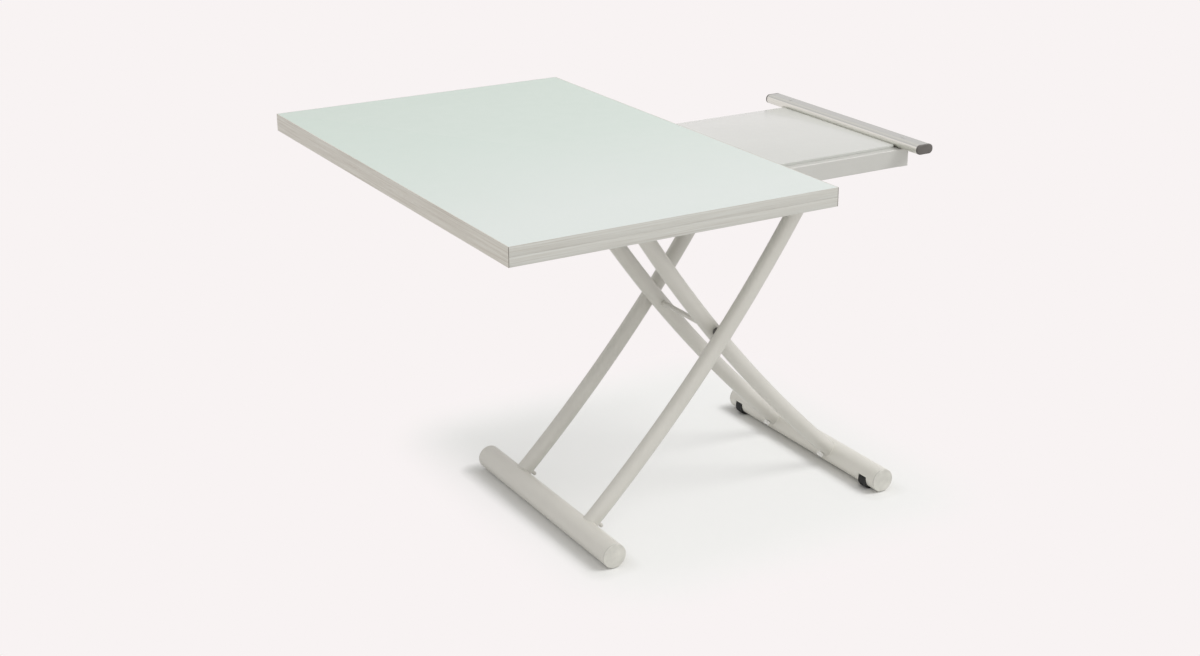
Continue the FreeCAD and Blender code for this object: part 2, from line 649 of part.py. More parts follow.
def bent_bar(radius):
    """Bend a round bar to a leg's centre line, drawn in the XY plane with the height along Y."""
    bar = doc.addObject("Part::Torus", "bent_bar")
    bar.Placement = FreeCAD.Placement(FreeCAD.Vector(), FreeCAD.Rotation(Z_AXIS, -1))
    bind(bar, Radius1="leg_bend", Radius2=radius, Angle3="leg_sweep")
    return bind(bar, Base_x="bend_x", Base_y="bend_z", Turn="foot_angle")


def stand(thing, inner):
    """Stand a piece drawn in the leg's plane upright on the near side, as an outer or an inner leg."""
    upright_piece = group(thing)
    turn = INNER_TURN if inner else OUTER_TURN
    upright_piece.Placement = FreeCAD.Placement(FreeCAD.Vector(), turn)
    if inner:
        return bind(upright_piece, Base_x="2 * cross_x", Base_y="-inner_leg_y")
    return bind(upright_piece, Base_y="-outer_leg_y")


def leg_tube(hole, stud_radius):
    """Make a bent leg tube, coped to its foot and holed at the crossing and for its stud."""
    cope = rod("z", ("foot_x", "foot_height", "-foot_radius"), "foot_radius", "2 * foot_radius")
    stud_hole = on_underside(under_rod(stud_radius, "leg_radius"))
    return cut(bent_bar("leg_radius"), bent_bar("leg_radius - leg_wall"), cope, hole, stud_hole)


def under_rod(radius, reach):
    """Make a rod from inside the leg's bore, reaching past its wall. Along X, from the bend's centre."""
    root = "leg_bend + leg_radius - leg_wall - stud_root"
    return rod("x", (root, "0", "0"), radius, f"leg_wall + stud_root + {reach}")


def on_underside(thing):
    """Turn a piece made along X from the bend's centre to the stud's place on the leg's underside."""
    turned = group(thing)
    turned.Placement = FreeCAD.Placement(FreeCAD.Vector(), FreeCAD.Rotation(Z_AXIS, -1))
    return bind(turned, Base_x="bend_x", Base_y="bend_z", Turn="foot_angle + stud_rise / leg_bend * 180 / pi")


def leg_eye():
    """Make a leg's upper eye, with a collar on the tube's end and a spigot in the tube."""
    ring = rod("z", ("0", "0", "-eye_width / 2"), "eye_radius", "eye_width")
    # The neck points down the tube, along -Y of the eye's own frame.
    tube_end = "eye_setback - slide_play"
    neck_start = "(spacer_radius + slide_play)"
    collar = rod("y", ("0", f"-({tube_end})", "0"), "leg_radius", f"{tube_end} - {neck_start}")
    spigot = rod("y", ("0", "-eye_setback - eye_spigot", "0"), "leg_radius - leg_wall - slide_play",
                 f"eye_setback + eye_spigot - {neck_start}")
    bore = rod("z", ("0", "0", "-leg_radius"), "axle_radius + pin_play", "2 * leg_radius")
    eye = cut(fuse(ring, collar, spigot), bore)
    eye.Placement = FreeCAD.Placement(FreeCAD.Vector(), FreeCAD.Rotation(Z_AXIS, -1))
    return bind(eye, Base_x="axle_x", Base_y="pivot_height", Turn="axle_angle")


def make_legs():
    """Make both pairs of legs with their eyes, and the axle, bushes and spacers at the crossing."""
    inner_wall = rod("z", ("cross_x", "cross_height", "-leg_radius"), "scissor_radius", "leg_radius")
    outer = stand(leg_tube(inner_wall, "peg_radius"), inner=False)
    node("outer_leg_near", outer)
    node("outer_leg_far", far_copy(outer))
    node("outer_leg_eyes", pair(stand(leg_eye(), inner=False)))

    both_walls = rod("z", ("cross_x", "cross_height", "-leg_radius"), "bush_radius", "2 * leg_radius")
    inner = stand(leg_tube(both_walls, "leg_screw_radius"), inner=True)
    node("inner_leg_near", inner)
    node("inner_leg_far", far_copy(inner))
    node("inner_leg_eyes", pair(stand(leg_eye(), inner=True)))

    crossing = ("cross_x", "cross_height")
    node("scissor_axle", across(*crossing, "scissor_radius", "2 * outer_leg_y"))
    bush = cut(across(*crossing, "bush_radius", "2 * leg_radius", "-inner_leg_y"),
               across(*crossing, "scissor_radius + pin_play", "2 * leg_radius", "-inner_leg_y"))
    node("scissor_bushes", pair(bush))
    start = "-outer_leg_y + leg_radius"
    length = "outer_leg_y - inner_leg_y - 2 * leg_radius - slide_play"
    washer = cut(rod("y", ("cross_x", start, "cross_height"), "scissor_washer_radius", length),
                 rod("y", ("cross_x", start, "cross_height"), "scissor_radius", length))
    node("scissor_spacers", pair(washer))


def make_leg_studs():
    """Make the painted stop pegs under the outer legs and the zinc screws under the inner legs."""
    shank = under_rod("peg_radius", "peg_reach - peg_round")
    tip = disc("peg_radius", "2 * peg_round", ("Fillet", top_rim, "peg_round"))
    tip.Placement = FreeCAD.Placement(FreeCAD.Vector(), TURNS["x"])
    bind(tip, Base_x="leg_bend + leg_radius + peg_reach - 2 * peg_round")
    node("stop_pegs", pair(stand(on_underside(fuse(shank, tip)), inner=False)))

    screw = under_rod("leg_screw_radius", "0")
    head = rod("x", ("leg_bend + leg_radius", "0", "0"), "leg_screw_head", "leg_screw_high")
    node("leg_screws", pair(stand(on_underside(fuse(screw, head)), inner=True)))


def foot_tube(x):
    """Make a foot tube without its caps."""
    length = "foot_length - 2 * foot_cap"
    return cut(across(x, "foot_height", "foot_radius", length),
               across(x, "foot_height", "foot_radius - foot_wall", length))


def foot_cap(x, plug_length):
    """Make a near foot cap: a disc with a rounded rim, and a plug in the tube."""
    face = disc("foot_radius", "foot_cap", ("Fillet", top_rim, "foot_cap_round"))
    lie_along_y(face, x, "-foot_length / 2 + foot_cap", "foot_height", outwards=-1)
    plug = rod("y", (x, "-foot_length / 2 + foot_cap", "foot_height"), "foot_radius - foot_wall", plug_length)
    return fuse(face, plug)


def make_plain_foot():
    """Make the plain foot with caps and glides."""
    node("plain_foot", foot_tube("foot_x"))
    node("plain_foot_caps", pair(foot_cap("foot_x", "foot_plug")))
    pad = block(("foot_x - glide_width / 2", "-glide_y - glide_length / 2", "0"),
                ("glide_width", "glide_length", "glide_height"))
    node("foot_glides", pair(cut(pad, across("foot_x", "foot_height", "foot_radius", "foot_length"))))


def make_wheel_foot():
    """Make the wheeled foot with its wheel-carrying caps and axles."""
    slot_width = "wheel_width + 2 * wheel_room"
    slots = [across("wheel_x", "wheel_radius", "wheel_radius + wheel_room", slot_width, f"{side} * wheel_y")
             for side in (-1, 1)]
    node("wheel_foot", cut(foot_tube("wheel_foot_x"), *slots))
    slot = across("wheel_x", "wheel_radius", "wheel_radius + wheel_room", slot_width, "-wheel_y")
    axle_hole = across("wheel_x", "wheel_radius", "wheel_axle_radius", "wheel_axle_length", "-wheel_y")
    node("wheel_foot_caps", pair(cut(foot_cap("wheel_foot_x", "wheel_plug"), slot, axle_hole)))
    node("wheel_axles", pair(across("wheel_x", "wheel_radius", "wheel_axle_radius", "wheel_axle_length", "-wheel_y")))


def make_wheels():
    """Make two wheels, each a nylon hub in a black tyre."""
    place = ("wheel_x", "wheel_radius")
    hub = cut(across(*place, "hub_radius", "wheel_width", "-wheel_y"),
              across(*place, "wheel_axle_radius + pin_play", "wheel_width", "-wheel_y"))
    tread = disc("wheel_radius", "wheel_width", ("Fillet", rims, "wheel_round"))
    lie_along_y(tread, "wheel_x", "-wheel_y - wheel_width / 2", "wheel_radius")
    tyre = cut(tread, across(*place, "hub_radius", "wheel_width", "-wheel_y"))
    node("near_wheel_hub", hub)
    node("near_wheel_tyre", tyre)
    node("far_wheel_hub", far_copy(hub))
    node("far_wheel_tyre", far_copy(tyre))


def leaf_board(low, thick):
    """Make a leaf's board inside its edge bands."""
    return block(("leaf_start + band_thick", "-top_length / 2 + band_thick", low),
                 ("top_width - 2 * band_thick", "top_length - 2 * band_thick", thick))


def leaf_bands(low, thick):
    """Make a leaf's four edge bands: the two long ones run through to the corners. The hinged one comes last."""
    inset = "leaf_start + band_thick"
    short = ("top_width - 2 * band_thick", "band_thick", thick)
    near = block((inset, "-top_length / 2", low), short)
    far = block((inset, "top_length / 2 - band_thick", low), short)
    plain = block(("leaf_start", "-top_length / 2", low), ("band_thick", "top_length", thick))
    hinged = block(("leaf_end - band_thick", "-top_length / 2", low), ("band_thick", "top_length", thick))
    return near, far, plain, hinged


def hinge_places():
    """Give the middle of each book hinge along Y."""
    return [f"{step} * hinge_spacing" for step in (-1, 0, 1)]


def hinge_rod(y, radius, shift="0", length="hinge_length"):
    """Make a rod on the book hinge's axis, shifted from the hinge's middle."""
    return across("hinge_x", "split", radius, length, f"({y} + {shift})")


def hinge_plate_block(y, low, outside):
    """Make a hinge plate's box in a leaf's edge, standing proud by outside where it is a cutting tool."""
    return block(("leaf_end - hinge_plate_thick", f"{y} - hinge_length / 2", low),
                 (f"hinge_plate_thick + {outside}", "hinge_length", "hinge_plate_high"))


def hinge_pockets(low):
    """Make the tools that let the hinge plates and their knuckles into a leaf's edge."""
    tools = []
    for y in hinge_places():
        tools.append(hinge_plate_block(y, low, "hinge_plate_thick"))
        tools.append(hinge_rod(y, "knuckle_radius + knuckle_relief"))
    return tools


def make_lower_leaf():
    """Make the lower leaf's board and bands, let in for the hinges and the swivel."""
    pocket = rod("z", ("swivel_x", "swivel_y", "underside"), "bolt_head_radius + head_pocket",
                 "bolt_head_thick + head_pocket")
    screw_holes = [rod("z", (*spot, "underside"), "wood_screw_radius", "wood_screw_grip") for spot in screw_spots()]
    board = cut(leaf_board("underside", "lower_board"), pocket, *screw_holes, *hinge_pockets(LOWER_PLATE))
    node("lower_leaf_board", board)
    *plain_bands, hinged_band = leaf_bands("underside", "lower_board")
    node("lower_leaf_bands", group(*plain_bands, cut(hinged_band, *hinge_pockets(LOWER_PLATE))))


def make_upper_leaf():
    """Make the upper leaf's board, bands, and the glass sheet that lies flush inside the bands."""
    board = cut(leaf_board("upper_face", "upper_board"), *hinge_pockets(UPPER_PLATE))
    node("upper_leaf_board", board)
    *plain_bands, hinged_band = leaf_bands("upper_face", "upper_board + glass_thick")
    node("upper_leaf_bands", group(*plain_bands, cut(hinged_band, *hinge_pockets(UPPER_PLATE))))
    plan = box_outline("leaf_start + band_thick", "-top_length / 2 + band_thick", "leaf_end - band_thick",
                       "top_length / 2 - band_thick")
    glass = prism("XY", plan, "glass_thick", ("Fillet", upright, "glass_corner"),
                  ("Chamfer", top_rim, "glass_arris"), Base_z="glass_face")
    node("upper_leaf_glass", glass)


def make_book_hinges():
    """Make the three book hinges: lower plates with a middle knuckle, upper plates with two, and the pins."""
    third = "hinge_length / 3"
    own_length = f"{third} - knuckle_gap"
    room_length = f"{third} + knuckle_gap"
    room = "knuckle_radius + knuckle_relief"
    sides = (f"-{third}", third)
    lower = []
    upper = []
    pins = []
    for y in hinge_places():
        middle_knuckle = hinge_rod(y, "knuckle_radius", length=own_length)
        side_rooms = [hinge_rod(y, room, shift, room_length) for shift in sides]
        lower_half = fuse(hinge_plate_block(y, LOWER_PLATE, "0"), middle_knuckle)
        lower.append(cut(lower_half, *side_rooms, hinge_rod(y, "hinge_pin_radius")))

        side_knuckles = [hinge_rod(y, "knuckle_radius", shift, own_length) for shift in sides]
        upper_half = fuse(hinge_plate_block(y, UPPER_PLATE, "0"), *side_knuckles)
        middle_room = hinge_rod(y, room, length=room_length)
        pin_bore = hinge_rod(y, "hinge_pin_radius + pin_play", length="hinge_length + 2 * knuckle_gap")
        upper.append(cut(upper_half, middle_room, pin_bore))
        pins.append(hinge_rod(y, "hinge_pin_radius"))
    node("hinge_lower_plates", group(*lower))
    node("hinge_upper_plates", group(*upper))
    node("hinge_pins", group(*pins))


def check_document():
    """Stop if any object failed or any sub-part is empty or not valid."""
    failed = [thing.Label for thing in doc.Objects if {"Invalid", "Error"} & set(thing.State)]
    for thing in nodes:
        if thing.Shape.isNull() or not thing.Shape.isValid() or not thing.Shape.Solids:
            failed.append(thing.Label)
    if failed:
        raise RuntimeError(f"failed objects: {', '.join(failed)}")


def write_parts():
    """Write each sub-part to its own file."""
    os.makedirs("parts", exist_ok=True)
    for thing in nodes:
        thing.Shape.exportStep(os.path.join("parts", f"{thing.Label}.step"))
        print(f"{thing.Label}: {len(thing.Shape.Solids)} solids, {thing.Shape.Volume / 1000:.2f} cm3")


make_sizes()
make_rails()
make_end_bars()
make_tray()
make_swivel()
make_fixed_axle()
make_slide()
make_gas_spring()
make_legs()
make_leg_studs()
make_plain_foot()
make_wheel_foot()
make_wheels()
make_lower_leaf()
make_upper_leaf()
make_book_hinges()
doc.recompute()
check_document()
write_parts()
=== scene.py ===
"""Extending dining table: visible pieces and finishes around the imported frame.

A closed double top of two banded leaves turns a quarter on an offset bolt and
opens like a book over the bare end of a steel underframe. Four bent legs carry
it as a scissor, on a plain foot and a wheeled foot. Lengths are metres in the
frame's own axes: X along the underframe, Y along the closed top, Z up. Screws
and turned pieces have their sizes in millimetres, as their classes say.
"""
import logging
import math
from dataclasses import asdict, dataclass, field
from enum import Enum
from functools import cache
from typing import Optional, Sequence

import bmesh
import bpy
from mathutils import Matrix, Vector


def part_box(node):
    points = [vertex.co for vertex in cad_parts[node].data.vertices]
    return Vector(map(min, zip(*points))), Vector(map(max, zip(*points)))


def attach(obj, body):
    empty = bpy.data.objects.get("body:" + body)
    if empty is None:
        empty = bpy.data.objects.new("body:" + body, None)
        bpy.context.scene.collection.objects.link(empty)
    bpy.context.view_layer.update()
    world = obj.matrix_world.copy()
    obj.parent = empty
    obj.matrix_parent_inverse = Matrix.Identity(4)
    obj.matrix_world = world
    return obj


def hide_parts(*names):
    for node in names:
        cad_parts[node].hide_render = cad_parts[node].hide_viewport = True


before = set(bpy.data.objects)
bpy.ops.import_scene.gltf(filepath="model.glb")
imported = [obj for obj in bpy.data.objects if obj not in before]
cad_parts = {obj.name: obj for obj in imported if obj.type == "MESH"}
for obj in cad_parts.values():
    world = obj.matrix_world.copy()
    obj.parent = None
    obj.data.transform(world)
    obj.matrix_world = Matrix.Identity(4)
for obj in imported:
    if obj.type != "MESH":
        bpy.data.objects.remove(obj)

LOG = logging.getLogger("table")
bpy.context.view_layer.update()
MM = 0.001
DOUBLES = 0.002 * MM
SHARP = math.radians(32)
UPRIGHT = math.pi / 2
DOWNWARD = (math.pi, 0.0, 0.0)
HINGE_SPACING = 0.420

Colour = tuple[float, float, float]
Point = tuple[float, float, float]
Flat = tuple[float, float]
Ring = list[Vector]
Stops = Sequence[tuple[float, Colour]]
Socket = bpy.types.NodeSocket
Piece = bpy.types.Object

# Most values of a noise lie between these two.
USUAL = (0.3, 0.7)


class Grain(Enum):
    """Direction that a wood grain runs in, as waves in a metre along each axis."""

    ALONG_X = (5.0, 420.0, 420.0)
    ALONG_Y = (420.0, 5.0, 420.0)


class NodeBench:
    """A node tree that is filled node by node."""

    def __init__(self, tree: bpy.types.NodeTree) -> None:
        """Keep the tree that is filled."""
        self.tree = tree

    def add(self, kind: str, inputs: Optional[dict] = None, **settings: object) -> bpy.types.Node:
        """Add one node, with its inputs linked or set.

        Args:
            kind: Blender's name of the node type.
            inputs: a socket to link or a value to set, by input name or number.
            settings: the node's own properties.

        Returns:
            The new node.
        """
        node = self.tree.nodes.new(kind)
        for label, value in settings.items():
            setattr(node, label, value)
        for label, value in (inputs or {}).items():
            self.feed(node.inputs[label], value)
        return node

    def feed(self, entry: Socket, value: object) -> None:
        """Link a node's input, or set its own value.

        Args:
            entry: the input.
            value: a socket to link, or a value to set.
        """
        if isinstance(value, Socket):
            self.tree.links.new(value, entry)
        else:
            entry.default_value = value

    def give(self, kind: str, inputs: Optional[dict] = None, **settings: object) -> Socket:
        """Add one node and give its first output."""
        return self.add(kind, inputs, **settings).outputs[0]

    def math(self, operation: str, *values: object) -> Socket:
        """Add a sum and give its result."""
        return self.give("ShaderNodeMath", dict(enumerate(values)), operation=operation)


class ShaderBench(NodeBench):
    """A finish's material, with its Principled shader."""

    def __init__(self, name: str) -> None:
        """Start the material and its Object coordinates.

        Args:
            name: the material's name.
        """
        self.material = bpy.data.materials.new(name)
        self.material.use_nodes = True
        super().__init__(self.material.node_tree)
        self.shader = self.tree.nodes["Principled BSDF"]
        place = self.add("ShaderNodeTexCoord")
        self.coords = place.outputs["Object"]
        self.facing = place.outputs["Normal"]

    def set(self, **values: object) -> None:
        """Set or link the shader's inputs, named with underscores for spaces."""
        for label, value in values.items():
            self.feed(self.shader.inputs[label.replace("_", " ")], value)

    def noise(self, scale: float, detail: float = 2.0, rough: float = 0.5,
              stretch: Optional[Point] = None, shift: float = 0.0) -> Socket:
        """Add a noise pattern on Object coordinates.

        Args:
            scale: waves in a metre.
            detail: number of finer layers.
            rough: weight of the finer layers.
            stretch: scale along each axis, for a pattern with a direction.
            shift: distance that sets this pattern apart from others.

        Returns:
            The pattern's value, from 0 to 1.
        """
        coords = self.coords
        if stretch or shift:
            coords = self.give("ShaderNodeMapping", {
                "Vector": coords, "Scale": stretch or (1.0, 1.0, 1.0), "Location": (shift,) * 3})
        return self.give("ShaderNodeTexNoise", {
            "Vector": coords, "Scale": scale, "Detail": detail, "Roughness": rough})

    def ramp(self, value: Socket, stops: Stops) -> Socket:
        """Turn a value into colours.

        Args:
            value: the value, from 0 to 1.
            stops: a place and a colour for each stop, in order.

        Returns:
            The colour.
        """
        node = self.add("ShaderNodeValToRGB", {"Fac": value})
        elements = node.color_ramp.elements
        while len(elements) < len(stops):
            elements.new(0.5)
        for element, (place, colour) in zip(elements, stops):
            element.position = place
            element.color = (*colour, 1.0)
        return node.outputs[0]

    def span(self, value: Socket, low: float, high: float, ends: Flat = USUAL) -> Socket:
        """Spread the part of a value between two ends from one number to another."""
        return self.give("ShaderNodeMapRange", {
            "Value": value, "From Min": ends[0], "From Max": ends[1], "To Min": low, "To Max": high})

    def mix(self, factor: Socket, first: object, second: object) -> Socket:
        """Mix two colours.

        Args:
            factor: share of the second colour.
            first: a colour, or a socket that gives one.
            second: a colour, or a socket that gives one.

        Returns:
            The mixed colour.
        """
        node = self.add("ShaderNodeMix", {0: factor}, data_type="RGBA")
        for place, colour in ((6, first), (7, second)):
            self.feed(node.inputs[place], (*colour, 1.0) if isinstance(colour, tuple) else colour)
        return node.outputs[2]

    def cloud(self, pattern: Socket, shade: Colour, colour: Colour, ends: Flat = USUAL) -> None:
        """Colour the surface by a pattern, from a shade to the full colour."""
        self.set(Base_Color=self.ramp(pattern, tuple(zip(ends, (shade, colour)))))

    def gloss(self, pattern: Socket, low: float, high: float) -> None:
        """Vary the surface's roughness by a pattern."""
        self.set(Roughness=self.span(pattern, low, high))

    def bump(self, height: Socket, depth: float, strength: float) -> None:
        """Raise the surface by a pattern, to a depth in metres."""
        relief = {"Height": height, "Distance": depth, "Strength": strength}
        self.set(Normal=self.give("ShaderNodeBump", relief))


@dataclass(frozen=True)
class Finish:
    """A finish whose material is made once."""

    name: str

    def paint(self, bench: ShaderBench) -> None:
        """Fill the material's nodes."""
        raise NotImplementedError

    @cache
    def material(self) -> bpy.types.Material:
        """Make the finish's material.

        Returns:
            The material, the same one at each call.
        """
        bench = ShaderBench(self.name)
        self.paint(bench)
        return bench.material


@dataclass(frozen=True)
class PowderCoat(Finish):
    """Baked paint or dull plating on metal, or a near-white painted glint, with a fine orange peel and soft
    clouds.
    """

    colour: Colour
    shade: Colour
    rough: float = 0.42
    metal: float = 0.2
    peel: float = 1100.0
    depth: float = 0.012 * MM
    clouds: float = 9.0
    smears: float = 60.0

    def paint(self, bench: ShaderBench) -> None:
        """Cloud the colour, vary the gloss and raise the peel.

        Args:
            bench: the material's nodes.
        """
        bench.cloud(bench.noise(self.clouds, detail=3.0), self.shade, self.colour)
        bench.set(Metallic=self.metal)
        bench.gloss(bench.noise(self.smears, detail=4.0), self.rough - 0.04, self.rough + 0.05)
        bench.bump(bench.noise(self.peel), self.depth, strength=0.5)


@dataclass(frozen=True)
class SatinGlass(Finish):
    """Etched glass painted behind, with a greener ground edge and a painted reflection on its near side."""

    # deep, middle and pale run from the far side to the near side: the lighter near side is a painted
    # reflection, and the clouds are the glass's own uneven tone.
    deep: Colour = (0.60, 0.69, 0.625)
    middle: Colour = (0.645, 0.725, 0.67)
    pale: Colour = (0.725, 0.77, 0.74)
    edge: Colour = (0.60, 0.72, 0.65)
    drift: Point = (0.05, -0.95, 0.0)
    drift_ends: Flat = (-0.5, 0.6)
    clouds: float = 2.2
    cloud_share: float = 0.25
    smears: float = 35.0
    rough: Flat = (0.40, 0.47)
    frost: float = 2600.0
    depth: float = 0.02 * MM

    def paint(self, bench: ShaderBench) -> None:
        """Lighten the face towards its near side as a painted reflection, cloud it, green the edge and frost
        the surface.

        Args:
            bench: the material's nodes.
        """
        # Painted reflection: the face's colour lightens towards the near side.
        drift = bench.add("ShaderNodeVectorMath", {0: bench.coords, 1: self.drift}, operation="DOT_PRODUCT")
        clouds = bench.noise(self.clouds, detail=3.0)
        tint = bench.math("MULTIPLY_ADD", clouds, self.cloud_share, drift.outputs["Value"])
        face = bench.ramp(bench.span(tint, 0.0, 1.0, self.drift_ends),
                          ((0.05, self.deep), (0.5, self.middle), (0.95, self.pale)))
        upward = bench.add("ShaderNodeSeparateXYZ", {0: bench.facing}).outputs[2]
        bench.set(Base_Color=bench.mix(bench.math("MULTIPLY", upward, upward), self.edge, face), IOR=1.5)
        bench.gloss(bench.noise(self.smears, detail=4.0), *self.rough)
        bench.bump(bench.noise(self.frost), self.depth, strength=0.4)


@dataclass(frozen=True)
class WoodBand(Finish):
    """Printed wood grain on an edge band or a laminate, with fine pores."""

    grain: Grain
    dark: Colour = (0.487, 0.462, 0.412)
    middle: Colour = (0.594, 0.586, 0.542)
    light: Colour = (0.674, 0.683, 0.647)
    coarse: float = 1.0
    pore: float = 5.0
    pore_ends: Flat = (0.60, 0.72)
    pore_share: float = 0.3
    clouds: float = 7.0
    cloud_share: float = 0.35
    rough: Flat = (0.55, 0.44)
    depth: float = 0.05 * MM

    def run(self, finer: float) -> Point:
        """Give the grain's waves in a metre along each axis, made finer."""
        return tuple(value * finer for value in self.grain.value)

    def paint(self, bench: ShaderBench) -> None:
        """Streak the colour along the grain and sink the pores.

        Args:
            bench: the material's nodes.
        """
        streaks = bench.noise(1.0, detail=5.0, rough=0.62, stretch=self.run(self.coarse))
        tone = bench.ramp(streaks, ((0.3, self.dark), (0.5, self.middle), (0.72, self.light)))
        clouds = bench.noise(self.clouds, shift=3.0)
        tone = bench.mix(bench.span(clouds, 0.0, self.cloud_share), tone, self.middle)
        pores = bench.noise(1.0, stretch=self.run(self.pore), shift=1.7)
        sunk = bench.span(pores, 0.0, self.pore_share, self.pore_ends)
        bench.set(Base_Color=bench.mix(sunk, tone, self.dark))
        bench.gloss(streaks, *self.rough)
        bench.bump(pores, self.depth, strength=0.5)


@dataclass(frozen=True)
class Lacquer(Finish):
    """Gloss lacquer with a faint long ripple."""

    colour: Colour = (0.645, 0.655, 0.62)
    shade: Colour = (0.615, 0.625, 0.59)
    clouds: float = 5.0
    smears: float = 50.0
    rough: Flat = (0.16, 0.24)
    ripple: float = 140.0
    depth: float = 0.05 * MM

    def paint(self, bench: ShaderBench) -> None:
        """Cloud the white, ripple it and give it a clear coat.

        Args:
            bench: the material's nodes.
        """
        bench.cloud(bench.noise(self.clouds, detail=3.0), self.shade, self.colour)
        bench.gloss(bench.noise(self.smears, detail=4.0), *self.rough)
        bench.set(Coat_Weight=0.3, Coat_Roughness=0.08)
        bench.bump(bench.noise(self.ripple, detail=1.0), self.depth, strength=0.25)


@dataclass(frozen=True)
class Moulded(Finish):
    """Moulded plastic or rubber with a fine spark texture."""

    colour: Colour
    rough: float = 0.5
    spark: float = 2200.0
    depth: float = 0.05 * MM
    mottle: float = 45.0
    mottle_ends: Flat = (0.32, 0.75)
    paler: float = 1.25
    lift: float = 0.004

    def paint(self, bench: ShaderBench) -> None:
        """Mottle the colour, vary the gloss and raise the texture.

        Args:
            bench: the material's nodes.
        """
        pale = tuple(min(1.0, value * self.paler + self.lift) for value in self.colour)
        spark = bench.noise(self.spark, detail=3.0)
        bench.cloud(bench.noise(self.mottle, detail=4.0), self.colour, pale, self.mottle_ends)
        bench.gloss(spark, self.rough - 0.05, self.rough + 0.08)
        bench.bump(spark, self.depth, strength=0.5)


@dataclass(frozen=True)
class ClearSilicone(Finish):
    """Clear soft bumper, milky where it is thick."""

    colour: Colour = (0.74, 0.74, 0.71)
    shade: Colour = (0.69, 0.69, 0.66)
    clouds: float = 300.0
    smears: float = 500.0
    rough: Flat = (0.28, 0.38)

    def paint(self, bench: ShaderBench) -> None:
        """Let some light through, with a faintly uneven gloss.

        Args:
            bench: the material's nodes.
        """
        bench.cloud(bench.noise(self.clouds), self.shade, self.colour)
        bench.gloss(bench.noise(self.smears), *self.rough)
        bench.set(Transmission_Weight=0.25, IOR=1.41)


@dataclass(frozen=True)
class BareMetal(Finish):
    """Plated, drawn or ground metal, with streaks along its length."""

    colour: Colour
    shade: Colour
    rough: float
    streak: Point = (600.0, 600.0, 600.0)
    streak_ends: Flat = (0.28, 0.72)
    depth: float = 0.01 * MM

    def paint(self, bench: ShaderBench) -> None:
        """Streak the colour and the gloss along the metal's length.

        Args:
            bench: the material's nodes.
        """
        streaks = bench.noise(1.0, detail=4.0, rough=0.6, stretch=self.streak)
        bench.cloud(streaks, self.shade, self.colour, self.streak_ends)
        bench.set(Metallic=1.0)
        bench.gloss(streaks, self.rough + 0.05, self.rough - 0.04)
        bench.bump(streaks, self.depth, strength=0.35)


DRAWN = (900.0, 6.0, 900.0)
GROUND = (1500.0, 300.0, 300.0)

GLASS = SatinGlass("satin_glass")
BAND_X = WoodBand("band_grain_along_x", Grain.ALONG_X)
# The bands along Y are lighter and warmer than those along X: partly the bands' own tone, partly painted
# light that makes up for the left end facing away from the key lamp.
BAND_Y_WITH_PAINTED_LIGHT = WoodBand("band_grain_along_y_with_painted_light", Grain.ALONG_Y, (0.535, 0.49, 0.425), (0.655, 0.623, 0.559),
                  (0.748, 0.73, 0.67))
BAND_CORE = Moulded("band_core", (0.17, 0.15, 0.13), 0.6)
LAMINATE = WoodBand("leaf_laminate_grain", Grain.ALONG_Y, coarse=0.35)
WHITE = Lacquer("white_lacquer_gloss")
GREY = PowderCoat("warm_grey_powder_coat", (0.655, 0.64, 0.59), (0.625, 0.61, 0.56), metal=0.1)
# The feet wear the legs' warm grey paint; these lighter copies of it are painted light, strongest on the
# wheeled foot.
FOOT_GREY_WITH_PAINTED_LIGHT = PowderCoat("warm_grey_foot_coat_with_painted_light", (0.72, 0.703, 0.65), (0.69, 0.673, 0.62), metal=0.1)
WHEEL_FOOT_GREY_WITH_PAINTED_LIGHT = PowderCoat("warm_grey_wheel_foot_coat_with_painted_light", (0.775, 0.758, 0.70), (0.745, 0.728, 0.67),
                             metal=0.1)
RAIL_GREY = PowderCoat("warm_grey_rail_coat", (0.60, 0.597, 0.564), (0.575, 0.572, 0.538), metal=0.1)
GREY_CAP = Moulded("grey_foot_cap", (0.575, 0.565, 0.518), 0.45)
# The bar's three finishes are lit and shaded copies of one satin aluminium: the sides' lighter copy is a
# painted reflection, and the top's and the shoulders' darker copies are painted shade.
BAR_SIDES_PAINTED_REFLECTION = BareMetal("satin_aluminium_sides_painted_reflection", (0.80, 0.80, 0.745), (0.745, 0.745, 0.695), 0.36, DRAWN)
BRUSHED_TOP_PAINTED_SHADE = BareMetal("satin_aluminium_brushed_top_painted_shade", (0.57, 0.585, 0.565), (0.512, 0.528, 0.507), 0.40,
                        DRAWN)
BAR_SHOULDER_PAINTED_SHADE = BareMetal("satin_aluminium_shoulders_painted_shade", (0.634, 0.648, 0.604), (0.58, 0.593, 0.552), 0.38,
                         DRAWN)
DARK_CAP = Moulded("dark_bar_cap", (0.115, 0.106, 0.098), 0.48)
BLACK_NYLON = Moulded("black_nylon_moulded", (0.016, 0.016, 0.017), 0.46)
GREY_NYLON = Moulded("grey_nylon_moulded", (0.23, 0.23, 0.225), 0.5)
DARK_NYLON = Moulded("dark_spacer_nylon", (0.07, 0.068, 0.064), 0.5)
RUBBER = Moulded("black_tyre_rubber", (0.014, 0.014, 0.014), 0.7, 1500.0, 0.08 * MM)
SILICONE = ClearSilicone("clear_silicone")
ZINC = BareMetal("bright_zinc_plate", (0.88, 0.875, 0.85), (0.76, 0.75, 0.72), 0.30)
